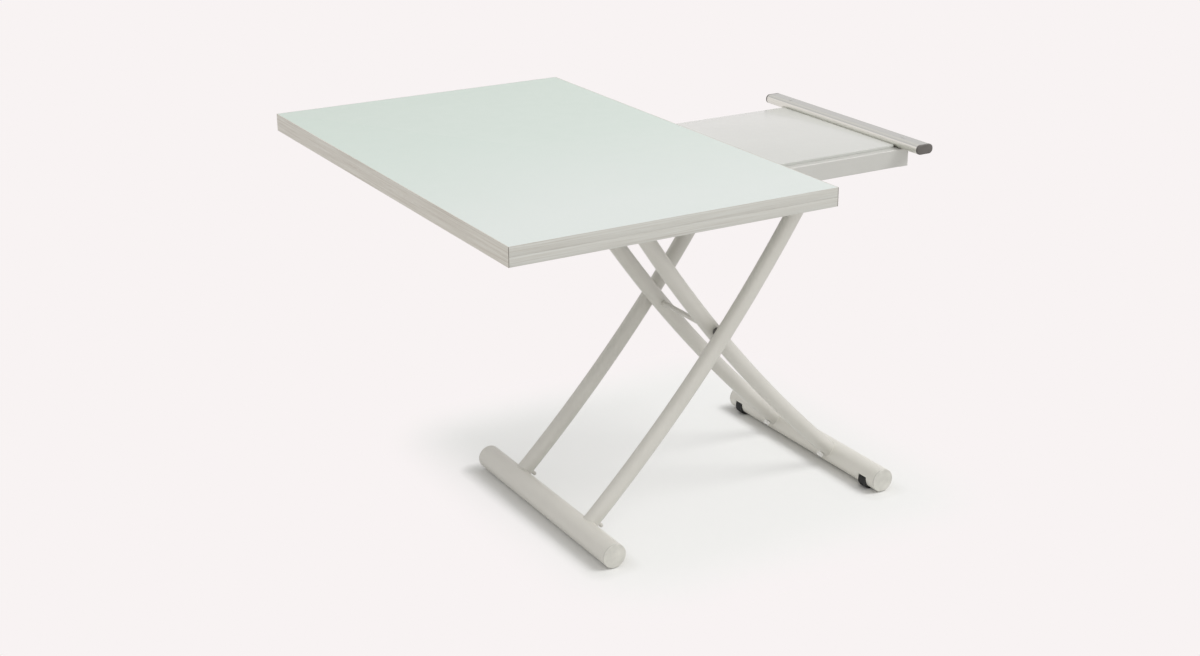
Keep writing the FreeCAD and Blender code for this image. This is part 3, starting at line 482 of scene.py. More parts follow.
# The hex screws' near-white, half-metal coat is a painted glint, standing in for the bright reflections of
# their zinc plate.
ZINC_WITH_PAINTED_GLINT = PowderCoat("zinc_plate_painted_glint", (0.98, 0.975, 0.96), (0.94, 0.935, 0.92), 0.2, 0.4)
HINGE_STEEL = BareMetal("satin_hinge_steel", (0.62, 0.61, 0.58), (0.55, 0.54, 0.51), 0.36)
CAST = PowderCoat("cast_zinc_block", (0.30, 0.30, 0.295), (0.25, 0.25, 0.245), 0.5, 0.7, 800.0, 0.1 * MM)
SPRING_BLACK = PowderCoat("black_spring_paint", (0.022, 0.022, 0.023), (0.016, 0.016, 0.017), 0.34, 0.0)
CHROME = BareMetal("ground_chrome_rod", (0.86, 0.86, 0.87), (0.80, 0.80, 0.815), 0.12, GROUND)


def dress(finish: Finish, *nodes: str) -> None:
    """Give CAD nodes a finish.

    Args:
        finish: the finish.
        nodes: names of the nodes.
    """
    for name in nodes:
        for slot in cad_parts[name].material_slots:
            slot.material = finish.material()
        LOG.info("dressed %s in %s", name, finish.name)


def settle(piece: Piece, body: str, slot: str, *nodes: str) -> None:
    """Put a finished piece on its body.

    Args:
        piece: the finished piece.
        body: the body that carries it.
        slot: the record's material slot of its finish; not used.
        nodes: CAD nodes that it stands for.
    """
    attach(piece, body)
    if nodes:
        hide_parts(*nodes)
    LOG.info("built %s on %s, %d faces", piece.name, body, len(piece.data.polygons))


def middle_of(node: str) -> Vector:
    """Give the middle of a CAD node's box."""
    low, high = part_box(node)
    return (low + high) / 2


def put(name: str, data: bpy.types.ID) -> Piece:
    """Put a mesh, a lamp or a camera into the scene.

    Args:
        name: the object's name.
        data: what the object shows.

    Returns:
        The object.
    """
    made = bpy.data.objects.new(name, data)
    bpy.context.scene.collection.objects.link(made)
    return made


def smooth(mesh: bpy.types.Mesh) -> None:
    """Merge doubles, turn faces outwards and smooth all but the sharp edges.

    Args:
        mesh: the mesh, which is changed.
    """
    work = bmesh.new()
    work.from_mesh(mesh)
    bmesh.ops.remove_doubles(work, verts=work.verts, dist=DOUBLES)
    bmesh.ops.recalc_face_normals(work, faces=work.faces)
    for face in work.faces:
        face.smooth = True
    for edge in work.edges:
        edge.smooth = edge.calc_face_angle(0.0) < SHARP
    work.to_mesh(mesh)
    work.free()


class Shell:
    """Closed mesh forms that become one piece."""

    def __init__(self) -> None:
        """Start with no form."""
        self.work = bmesh.new()

    def loft(self, rings: Sequence[Ring], slot: int = 0, endless: bool = False) -> None:
        """Skin a row of equal rings, and close both ends.

        Args:
            rings: the rings, each with the same number of points.
            slot: the piece's finish for these faces.
            endless: join the last ring to the first instead of closing the ends.
        """
        rows = [[self.work.verts.new(point) for point in ring] for ring in rings]
        faces = []
        for row, following in zip(rows, rows[1:] + (rows[:1] if endless else [])):
            for here in range(len(row)):
                beside = (here + 1) % len(row)
                corners = (row[here], row[beside], following[beside], following[here])
                faces.append(self.work.faces.new(corners))
        if not endless:
            faces += [self.work.faces.new(rows[0][::-1]), self.work.faces.new(rows[-1])]
        for face in faces:
            face.material_index = slot

    def lathe(self, profile: Sequence[Flat], axis: Matrix, steps: int = 64) -> None:
        """Turn a closed profile about an axis.

        Args:
            profile: radius and place along the axis of each point, in millimetres.
            axis: turns the Z axis into the axis of the form, and moves it to its place.
            steps: points round the axis.
        """
        up = Vector((0.0, 0.0, 1.0))
        rings = []
        for step in range(steps):
            angle = math.tau * step / steps
            way = Vector((math.cos(angle), math.sin(angle), 0.0))
            rings.append([axis @ ((way * radius + up * along) * MM) for radius, along in profile])
        self.loft(rings, endless=True)

    def piece(self, name: str, *finishes: Finish) -> Piece:
        """Make the piece.

        Args:
            name: the piece's name.
            finishes: its finishes, in the order of their slots.

        Returns:
            The piece's object, at the origin.
        """
        mesh = bpy.data.meshes.new(name)
        self.work.to_mesh(mesh)
        self.work.free()
        smooth(mesh)
        for finish in finishes:
            mesh.materials.append(finish.material())
        return put(name, mesh)


def round_rectangle(low: Sequence[float], high: Sequence[float], radius: float, steps: int = 6,
                    inset: float = 0.0) -> list[Flat]:
    """List the points of a rectangle with rounded corners.

    Args:
        low: its lowest corner.
        high: its highest corner.
        radius: the corners' radius.
        steps: steps in each corner.
        inset: how far the whole outline is drawn in.

    Returns:
        The points, anticlockwise from the lowest corner's end.
    """
    left, bottom = low[0] + inset, low[1] + inset
    right, top = high[0] - inset, high[1] - inset
    radius -= inset
    points = []
    for x, y, inward_x, inward_y, quarter in ((left, bottom, 1, 1, 2), (right, bottom, -1, 1, 3),
                                              (right, top, -1, -1, 0), (left, top, 1, -1, 1)):
        for step in range(steps + 1):
            angle = (quarter + step / steps) * UPRIGHT
            across, upward = inward_x + math.cos(angle), inward_y + math.sin(angle)
            points.append((x + radius * across, y + radius * upward))
    return points


def rounded_rim(radius: float, steps: int = 4) -> list[Flat]:
    """List how far each step of a rounded rim is drawn in, and how far it is from the end face."""
    angles = [UPRIGHT * step / steps for step in range(steps + 1)]
    return [(radius * (1 - math.sin(angle)), radius * (1 - math.cos(angle))) for angle in angles]


def slab_rings(low: Point, high: Point, corner: float, edge: float, steps: int = 4) -> list[Ring]:
    """List the rings of a slab with rounded upright corners and rounded rims.

    Args:
        low: the slab's lowest corner.
        high: the slab's highest corner.
        corner: radius of the upright corners.
        edge: radius of both rims.
        steps: steps in each rim.

    Returns:
        The rings, from the bottom up.
    """
    rim = rounded_rim(edge, steps)
    levels = [(inset, low[2] + step) for inset, step in rim]
    levels += [(inset, high[2] - step) for inset, step in reversed(rim)]
    return [[Vector((x, y, level)) for x, y in round_rectangle(low, high, corner, inset=inset)]
            for inset, level in levels]


def rounded_end(radius: float, end: float, inward: int) -> list[Flat]:
    """Round the end of a turned piece: radius and place of three points, in millimetres."""
    return [(radius - drop, end + inward * step) for drop, step in ((2.0, 0.0), (0.6, 0.6), (0.0, 2.0))]


def groove(radius: float, middle: float, depth: float, mouth: float, floor: float) -> list[Flat]:
    """List a groove's points in millimetres, with half its width at the mouth and at the floor."""
    return [(radius, middle - mouth), (radius - depth, middle - floor),
            (radius - depth, middle + floor), (radius, middle + mouth)]


class ShapeRecipe(NodeBench):
    """A Geometry Nodes tree with named sizes, run once for each piece."""

    def __init__(self, name: str) -> None:
        """Start a tree that takes and gives geometry.

        Args:
            name: the tree's name.
        """
        super().__init__(bpy.data.node_groups.new(name, "GeometryNodeTree"))
        for way in ("INPUT", "OUTPUT"):
            self.tree.interface.new_socket("Geometry", in_out=way, socket_type="NodeSocketGeometry")
        self.known: dict[str, str] = {}
        self.entry = self.add("NodeGroupInput")
        self.exit = self.add("NodeGroupOutput")
        self.base = self.entry.outputs["Geometry"]

    def size(self, name: str, kind: str = "NodeSocketFloat") -> Socket:
        """Add a named input and give its socket."""
        self.known[name] = self.tree.interface.new_socket(name, in_out="INPUT", socket_type=kind).identifier
        return self.entry.outputs[name]

    def sizes(self, *names: str) -> list[Socket]:
        """Add named numbers and give their sockets."""
        return [self.size(name) for name in names]

    def raised(self, geometry: Socket, rise: Socket) -> Socket:
        """Move geometry along Z and give the result."""
        shift = self.give("ShaderNodeCombineXYZ", {2: rise})
        return self.give("GeometryNodeTransform", {"Geometry": geometry, "Translation": shift})

    def cylinder(self, sides: object, radius: Socket, depth: Socket) -> Socket:
        """Give an upright cylinder round the origin."""
        return self.give("GeometryNodeMeshCylinder", {"Vertices": sides, "Radius": radius, "Depth": depth})

    def above(self, height: Socket, level: float) -> Socket:
        """Select what is higher than a level."""
        return self.give("FunctionNodeCompare", {0: height, 1: level}, operation="GREATER_THAN")

    def sweep(self, path: Socket, radius: Socket, sides: int, more: Optional[dict] = None) -> Socket:
        """Sweep a circle along a path and give the tube."""
        ring = self.give("GeometryNodeCurvePrimitiveCircle", {"Resolution": sides, "Radius": radius})
        return self.give("GeometryNodeCurveToMesh", {"Curve": path, "Profile Curve": ring, **(more or {})})

    def scatter(self, shape: Socket, **placing: object) -> None:
        """Set a copy of a shape on each point of the base, and end the tree."""
        inputs = {"Points": self.base, "Instance": shape, **placing}
        self.end(self.give("GeometryNodeInstanceOnPoints", inputs))

    def end(self, geometry: Socket) -> None:
        """Realize the copies and set the finish, at the tree's end.

        Args:
            geometry: what the tree has made.
        """
        finish = self.size("Finish", "NodeSocketMaterial")
        whole = self.give("GeometryNodeRealizeInstances", {"Geometry": geometry})
        dressed = self.give("GeometryNodeSetMaterial", {"Geometry": whole, "Material": finish})
        self.feed(self.exit.inputs[0], dressed)

    def make(self, name: str, base: bpy.types.Mesh, finish: Finish, sizes: dict[str, object]) -> Piece:
        """Run the tree on a base mesh.

        Args:
            name: the piece's name.
            base: points or lines that the shape is set on.
            finish: the piece's finish.
            sizes: values of the named inputs.

        Returns:
            The piece's object, with a plain mesh.
        """
        made = put(name, base)
        modifier = made.modifiers.new("shape", "NODES")
        modifier.node_group = self.tree
        for label, value in {**sizes, "Finish": finish.material()}.items():
            modifier[self.known[label]] = value
        graph = bpy.context.evaluated_depsgraph_get()
        mesh = bpy.data.meshes.new_from_object(made.evaluated_get(graph))
        made.modifiers.remove(modifier)
        made.data = mesh
        mesh.name = name
        smooth(mesh)
        return made


def points_mesh(points: Sequence[Point], edges: Sequence[tuple[int, int]] = ()) -> bpy.types.Mesh:
    """Make a mesh of points, with lines between them.

    Args:
        points: the points, in metres.
        edges: pairs of point numbers.

    Returns:
        The mesh.
    """
    mesh = bpy.data.meshes.new("base_points")
    mesh.from_pydata([tuple(point) for point in points], edges, [])
    return mesh


@dataclass(frozen=True)
class ScrewSize:
    """Sizes of a screw with a chamfered head and a six-sided key socket, in millimetres."""

    head_sides: int
    head_radius: float
    head_height: float
    head_chamfer: float
    key_radius: float
    shank_radius: float
    shank_length: float


HINGE_SCREW = ScrewSize(24, 2.4, 0.35, 0.2, 1.1, 1.2, 1.0)
PLATE_SCREW = ScrewSize(28, 5.0, 2.5, 0.9, 1.9, 2.5, 16.0)
BAR_SCREW = ScrewSize(28, 5.0, 2.5, 0.9, 1.9, 3.0, 10.0)
LEG_SCREW = ScrewSize(6, 8.0, 9.0, 1.2, 3.2, 3.0, 3.0)


@cache
def screw_recipe() -> ShapeRecipe:
    """Make the tree for a set of screws, in millimetres: a chamfered head on a shank.

    Returns:
        The tree, the same one at each call.
    """
    recipe = ShapeRecipe("screw_set")
    sides = recipe.size("Head Sides", "NodeSocketInt")
    radius, height, chamfer = recipe.sizes("Head Radius", "Head Height", "Head Chamfer")
    key, shank_radius, shank_length = recipe.sizes("Key Radius", "Shank Radius", "Shank Length")
    turn = recipe.size("Turn", "NodeSocketRotation")
    straight = recipe.math("SUBTRACT", height, chamfer)
    way = recipe.add("ShaderNodeSeparateXYZ", {0: recipe.give("GeometryNodeInputNormal")})
    crown = recipe.add("GeometryNodeExtrudeMesh", {
        "Mesh": recipe.cylinder(sides, radius, straight), "Selection": recipe.above(way.outputs[2], 0.5),
        "Offset Scale": chamfer})
    drawn_in = recipe.math("SUBTRACT", 1.0, recipe.math("DIVIDE", chamfer, radius))
    head = recipe.give("GeometryNodeScaleElements", {
        "Geometry": crown.outputs["Mesh"], "Selection": crown.outputs["Top"], "Scale": drawn_in})
    head = recipe.raised(head, recipe.math("MULTIPLY", straight, 0.5))
    key_socket = recipe.raised(recipe.cylinder(6, key, height), recipe.math("MULTIPLY", height, 0.9))
    head = recipe.give("GeometryNodeMeshBoolean", {"Mesh 1": head, "Mesh 2": key_socket},
                       operation="DIFFERENCE")
    shank = recipe.cylinder(20, shank_radius, shank_length)
    shank = recipe.raised(shank, recipe.math("MULTIPLY", shank_length, -0.5))
    whole = recipe.add("GeometryNodeJoinGeometry")
    for part in (shank, head):
        recipe.feed(whole.inputs[0], part)
    recipe.scatter(whole.outputs[0], Rotation=turn, Scale=(MM,) * 3)
    return recipe


@cache
def tube_recipe() -> ShapeRecipe:
    """Make the tree for bent tubes: an arc in an upright plane, swept by a circle.

    Returns:
        The tree, the same one at each call.
    """
    recipe = ShapeRecipe("bent_tubes")
    bend, start, sweep = recipe.sizes("Bend Radius", "Start Angle", "Sweep Angle")
    radius, heading = recipe.sizes("Tube Radius", "Heading")
    arc = recipe.give("GeometryNodeCurveArc", {
        "Resolution": 72, "Radius": bend, "Start Angle": start, "Sweep Angle": sweep})
    tube = recipe.sweep(arc, radius, sides=56, more={"Fill Caps": True})
    recipe.scatter(tube, Rotation=recipe.give("ShaderNodeCombineXYZ", {0: UPRIGHT, 2: heading}))
    return recipe


@cache
def bead_recipe() -> ShapeRecipe:
    """Make the tree for weld beads: rippled rounds that follow closed lines.

    Returns:
        The tree, the same one at each call.
    """
    recipe = ShapeRecipe("weld_beads")
    radius, pitch, depth = recipe.sizes("Bead Radius", "Ripple Pitch", "Ripple Depth")
    seed = recipe.size("Seed", "NodeSocketInt")
    path = recipe.give("GeometryNodeMeshToCurve", {"Mesh": recipe.base})
    fine = recipe.give("GeometryNodeResampleCurve", {"Curve": path, "Count": 240})
    along = recipe.add("GeometryNodeSplineParameter").outputs["Length"]
    turns = recipe.math("DIVIDE", recipe.math("MULTIPLY", along, math.tau), pitch)
    wave = recipe.math("MULTIPLY", recipe.math("SINE", turns), depth)
    uneven = 0.04
    chance = recipe.add("FunctionNodeRandomValue", {2: -uneven, 3: uneven, "Seed": seed}).outputs[1]
    scale = recipe.math("ADD", recipe.math("ADD", wave, chance), 1.0)
    recipe.end(recipe.sweep(fine, radius, sides=10, more={"Scale": scale}))
    return recipe


@cache
def dome_recipe() -> ShapeRecipe:
    """Make the tree for domed bumpers: a low round whose upper face swells.

    Returns:
        The tree, the same one at each call.
    """
    recipe = ShapeRecipe("domed_bumpers")
    radius, wall, dome = recipe.sizes("Radius", "Wall Height", "Dome Height")
    low_round = recipe.give("GeometryNodeMeshCylinder", {
        "Vertices": 32, "Fill Segments": 6, "Radius": radius, "Depth": wall}, fill_type="TRIANGLE_FAN")
    place = recipe.add("ShaderNodeSeparateXYZ", {0: recipe.give("GeometryNodeInputPosition")}).outputs
    squares = [recipe.math("POWER", length, 2.0) for length in (place[0], place[1], radius)]
    reach = recipe.math("DIVIDE", recipe.math("ADD", squares[0], squares[1]), squares[2])
    swell = recipe.math("MULTIPLY", recipe.math("SUBTRACT", 1.0, reach), dome)
    swollen = recipe.give("GeometryNodeSetPosition", {
        "Geometry": low_round, "Selection": recipe.above(place[2], 0.0),
        "Offset": recipe.give("ShaderNodeCombineXYZ", {2: swell})})
    recipe.scatter(recipe.raised(swollen, recipe.math("MULTIPLY", wall, 0.5)))
    return recipe


@cache
def rib_recipe() -> ShapeRecipe:
    """Make the tree for grip ribs: rounded hoops set square to X.

    Returns:
        The tree, the same one at each call.
    """
    recipe = ShapeRecipe("grip_ribs")
    width, height, corner, thick = recipe.sizes("Width", "Height", "Corner Radius", "Rib Radius")
    hoop = recipe.give("GeometryNodeCurvePrimitiveQuadrilateral", {"Width": height, "Height": width})
    soft = recipe.add("GeometryNodeFilletCurve", {"Curve": hoop, "Radius": corner}, mode="POLY")
    recipe.feed(soft.inputs["Count"], 6)
    rib = recipe.sweep(soft.outputs[0], thick, sides=10)
    recipe.scatter(rib, Rotation=recipe.give("ShaderNodeCombineXYZ", {1: UPRIGHT}))
    return recipe


def screw_set(name: str, points: Sequence[Point], turn: Point, size: ScrewSize,
              finish: Finish = ZINC) -> Piece:
    """Make a set of screws.

    Args:
        name: the piece's name.
        points: where the heads are seated, in metres.
        turn: turns the head's outward direction from Z.
        size: the screws' sizes.
        finish: their plating.

    Returns:
        The piece's object.
    """
    values = {label.replace("_", " ").title(): value for label, value in asdict(size).items()}
    return screw_recipe().make(name, points_mesh(points), finish, {**values, "Turn": turn})


@dataclass
class Leaf:
    """One leaf of the double top: a board with its edge bands."""

    name: str
    plate_at_top: bool
    band: float = 1.5 * MM
    edge: float = 0.12 * MM
    corner: float = 0.144 * MM
    lip: float = 0.15 * MM
    hinge_length: float = 0.060
    plate_high: float = 11.0 * MM
    core_reach: float = 2.0 * MM
    core_facing: float = 0.9

    def strip(self, shell: Shell, low: Point, high: Point, slot: int) -> None:
        """Add a plain band with softened edges."""
        shell.loft(slab_rings(low, high, self.corner, self.edge, 2), slot)

    def hinged_strip(self, shell: Shell, low: Point, high: Point, slot: int) -> None:
        """Add the band of the hinged side, stepped round the hinge plates.

        Args:
            shell: the bands' shell.
            low: the band's lowest corner.
            high: the band's highest corner.
            slot: the band's finish.
        """
        step = self.plate_high + self.lip
        at_plate = (low[2], high[2] - step) if self.plate_at_top else (low[2] + step, high[2])
        cuts = [low[1]]
        for number in (-1, 0, 1):
            middle = number * HINGE_SPACING
            cuts += [middle - self.hinge_length / 2, middle + self.hinge_length / 2]
        cuts.append(high[1])
        for number, (start, stop) in enumerate(zip(cuts, cuts[1:])):
            bottom, top = at_plate if number % 2 else (low[2], high[2])
            self.strip(shell, (low[0], start, bottom), (high[0], stop, top), slot)

    def build(self) -> None:
        """Make the four bands, with a fine lip at the other leaf and bare core at the long bands' ends."""
        low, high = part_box(f"{self.name}_bands")
        if self.plate_at_top:
            high.z += self.lip
        else:
            low.z -= self.lip
        left, right = low.x + self.band, high.x - self.band
        shell = Shell()
        for side in (low.y, high.y - self.band):
            self.strip(shell, (left, side, low.z), (right, side + self.band, high.z), 0)
        self.strip(shell, low, (left, high.y, high.z), 1)
        self.hinged_strip(shell, (right, low.y, low.z), high, 1)
        shell.work.normal_update()
        for face in shell.work.faces:
            at_end = abs(face.calc_center_median().y) > high.y - self.core_reach
            if face.material_index == 1 and abs(face.normal.y) > self.core_facing and at_end:
                face.material_index = 2
        # The second finish's lighter colour is partly painted light.
        piece = shell.piece(f"{self.name}_edge_bands", BAND_X, BAND_Y_WITH_PAINTED_LIGHT, BAND_CORE)
        settle(piece, self.name, "grained_band", f"{self.name}_bands")
        dress(LAMINATE, f"{self.name}_board")


@dataclass
class GlassTop:
    """The satin glass sheet on the upper leaf."""

    corner: float = 1.0 * MM
    arris: float = 0.4 * MM

    def build(self) -> None:
        """Make the sheet with ground edges."""
        shell = Shell()
        shell.loft(slab_rings(*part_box("upper_leaf_glass"), self.corner, self.arris))
        settle(shell.piece("glass_sheet", GLASS), "upper_leaf", "frosted_glass", "upper_leaf_glass")


@dataclass
class BookHinges:
    """Three edge hinges between the leaves."""

    screw_spread: float = 0.020
    screw_inset: float = 3.2 * MM
    outward: Point = (0.0, UPRIGHT, 0.0)

    def build(self) -> None:
        """Dress the plates and pins, and set their screws."""
        dress(HINGE_STEEL, "hinge_lower_plates", "hinge_upper_plates", "hinge_pins")
        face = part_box("upper_leaf_bands")[1].x
        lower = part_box("hinge_lower_plates")[0].z + self.screw_inset
        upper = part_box("hinge_upper_plates")[1].z - self.screw_inset
        for leaf, level in (("lower_leaf", lower), ("upper_leaf", upper)):
            points = [(face, number * HINGE_SPACING + way * self.screw_spread, level)
                      for number in (-1, 0, 1) for way in (-1, 1)]
            settle(screw_set(f"{leaf}_hinge_screws", points, self.outward, HINGE_SCREW), leaf, "zinc")


@dataclass
class Swivel:
    """The offset bolt, disc and plates that the top turns on."""

    screw_inset: float = 0.015
    nut_chamfer: float = 0.87
    nut_straight: float = 0.7

    def build(self) -> None:
        """Dress the plates and bolt, set the plate's screws and make the thin nut."""
        dress(GREY, "swivel_cross_plate", "swivel_top_plate")
        dress(BLACK_NYLON, "swivel_base_disc")
        dress(ZINC, "swivel_bolt")
        low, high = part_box("swivel_top_plate")
        points = [(x, y, low.z) for x in (low.x + self.screw_inset, high.x - self.screw_inset)
                  for y in (low.y + self.screw_inset, high.y - self.screw_inset)]
        screws = screw_set("swivel_plate_screws", points, DOWNWARD, PLATE_SCREW)
        settle(screws, "lower_leaf", "zinc", "swivel_screws")
        self.nut()

    def nut(self) -> None:
        """Make the thin six-sided nut with chamfered corners."""
        low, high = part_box("swivel_nut")
        centre = (low + high) / 2
        radius = high.x - centre.x
        half = high.z - centre.z
        corner = Vector((radius, 0.0, 0.0))
        ways = [Matrix.Rotation(math.tau * step / 6, 3, "Z") @ corner for step in range(6)]
        levels = ((self.nut_chamfer, -1.0), (1.0, -self.nut_straight), (1.0, self.nut_straight),
                  (self.nut_chamfer, 1.0))
        shell = Shell()
        shell.loft([[centre + way * reach + Vector((0.0, 0.0, level * half)) for way in ways]
                    for reach, level in levels])
        settle(shell.piece("swivel_hex_nut", ZINC), "underframe", "zinc", "swivel_nut")


@dataclass
class EndBars:
    """The flat-oval bars across both ends of the underframe, which carry the opened leaf."""

    rounding: float = 9.5 * MM
    steps: int = 10
    groove_from_middle: float = 10.8 * MM
    groove_width: float = 1.1 * MM
    groove_depth: float = 0.5 * MM
    groove_floor: float = 0.3
    flat: float = 11.4 * MM
    # The next two shares of the rounding's height bound a painted shade line on the bar's rounding.
    shoulder: float = 0.8
    front_line: float = 0.6
    rim: float = 1.6 * MM
    cap: float = 5.0 * MM
    screw_y: float = 0.150
    bumper_y: float = 0.205
    bumper_radius: float = 5.0 * MM
    bumper_wall: float = 0.5 * MM
    bumper_dome: float = 0.7 * MM

    def section(self, low: Vector, high: Vector) -> list[Flat]:
        """List the bar's section, with two fine grooves in its upper face.

        Args:
            low: lowest corner of the bar's box.
            high: highest corner of the bar's box.

        Returns:
            X and Z of each point.
        """
        points = round_rectangle(low.xz, high.xz, self.rounding, self.steps)
        grooves = []
        for way in (1, -1):
            centre = (low.x + high.x) / 2 + way * self.groove_from_middle
            for part, depth in ((1, 0), (self.groove_floor, 1), (-self.groove_floor, 1), (-1, 0)):
                grooves.append((centre + part * self.groove_width / 2, high.z - depth * self.groove_depth))
        three_corners = 3 * (self.steps + 1)
        return points[:three_corners] + grooves + points[three_corners:]

    def bar(self, end: str, low: Vector, high: Vector) -> None:
        """Make one bar, with its brushed top, shoulders and sides in lit and shaded copies of one satin
        aluminium.

        The top's darker copy also takes a painted shade line between two shares of the rounding's height,
        and the sides' lighter copy is a painted reflection.

        Args:
            end: the end of the underframe that it lies on.
            low: lowest corner of the bar's box.
            high: highest corner of the bar's box.
        """
        outline = self.section(low, high)
        shell = Shell()
        shell.loft([[Vector((x, y, z)) for x, z in outline] for y in (low.y, high.y)])
        # Painted shade on the top and on a line across the rounding, lighter painted shade on the shoulders,
        # and a painted reflection on the sides.
        for face in shell.work.faces:
            middle = face.calc_center_median()
            level = middle.z > high.z - 2 * self.groove_depth
            on_flat = level and abs(middle.x - (low.x + high.x) / 2) < self.flat
            rise = 1 - (high.z - middle.z) / self.rounding
            if on_flat or self.front_line < rise < self.shoulder:
                face.material_index = 1
            elif rise > self.shoulder:
                face.material_index = 2
        piece = shell.piece(f"end_bar_{end}", BAR_SIDES_PAINTED_REFLECTION, BRUSHED_TOP_PAINTED_SHADE, BAR_SHOULDER_PAINTED_SHADE)
        settle(piece, "underframe", "satin_aluminium", f"support_bar_{end}")

    def end_cap(self, shell: Shell, low: Vector, high: Vector, y: float, way: int) -> None:
        """Add a cap with a rounded rim at one end of a bar.

        Args:
            shell: the caps' shell.
            low: lowest corner of the bar's box.
            high: highest corner of the bar's box.
            y: where the bar ends.
            way: the direction out of the bar.
        """
        levels = [(0.0, 0.0)] + [(inset, self.cap - step) for inset, step in reversed(rounded_rim(self.rim))]
        shell.loft([[Vector((x, y + way * along, z)) for x, z in
                     round_rectangle(low.xz, high.xz, self.rounding, self.steps, inset)]
                    for inset, along in levels])

    def build(self) -> None:
        """Make the bars, their caps, screws and bumpers."""
        middles = []
        caps = Shell()
        for end in ("outer", "inner"):
            low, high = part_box(f"support_bar_{end}")
            middles.append((low.x + high.x) / 2)
            self.bar(end, low, high)
            for y, way in ((low.y, -1), (high.y, 1)):
                self.end_cap(caps, low, high, y, way)
        settle(caps.piece("bar_end_covers", DARK_CAP), "underframe", "dark_cap", "bar_end_caps")
        self.fixings(middles)

    def fixings(self, middles: Sequence[float]) -> None:
        """Set the screws under the bars and the bumpers on them.

        Args:
            middles: X of each bar's middle.
        """
        low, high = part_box("bar_screws")
        seat = low.z + BAR_SCREW.head_height * MM
        rows = (high.x - BAR_SCREW.head_radius * MM, low.x + BAR_SCREW.head_radius * MM)
        points = [(x, way * self.screw_y, seat) for x in rows for way in (-1, 1)]
        screws = screw_set("bar_fixing_screws", points, DOWNWARD, BAR_SCREW)
        settle(screws, "underframe", "zinc", "bar_screws")
        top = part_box("bar_bumpers")[0].z
        spots = [(x, way * self.bumper_y, top) for x in middles for way in (-1, 1)]
        bumpers = dome_recipe().make("bar_bumper_domes", points_mesh(spots), SILICONE, {
            "Radius": self.bumper_radius, "Wall Height": self.bumper_wall, "Dome Height": self.bumper_dome})
        settle(bumpers, "underframe", "clear_bumper", "bar_bumpers")


@dataclass
class Underframe:
    """The folded rails, end rails and white tray panel."""

    lip: float = 0.85 * MM
    corner: float = 4.0 * MM
    edge: float = 0.5 * MM

    def build(self) -> None:
        """Dress the rails, and make the tray with its ends close under the end bars' rounding."""
        dress(RAIL_GREY, "side_rail_near", "side_rail_far", "end_rail_outer", "end_rail_inner")
        low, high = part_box("tray_panel")
        low.x -= self.lip
        high.x += self.lip
        shell = Shell()
        shell.loft(slab_rings(low, high, self.corner, self.edge))
        settle(shell.piece("tray_sheet", WHITE), "underframe", "white_lacquer", "tray_panel")


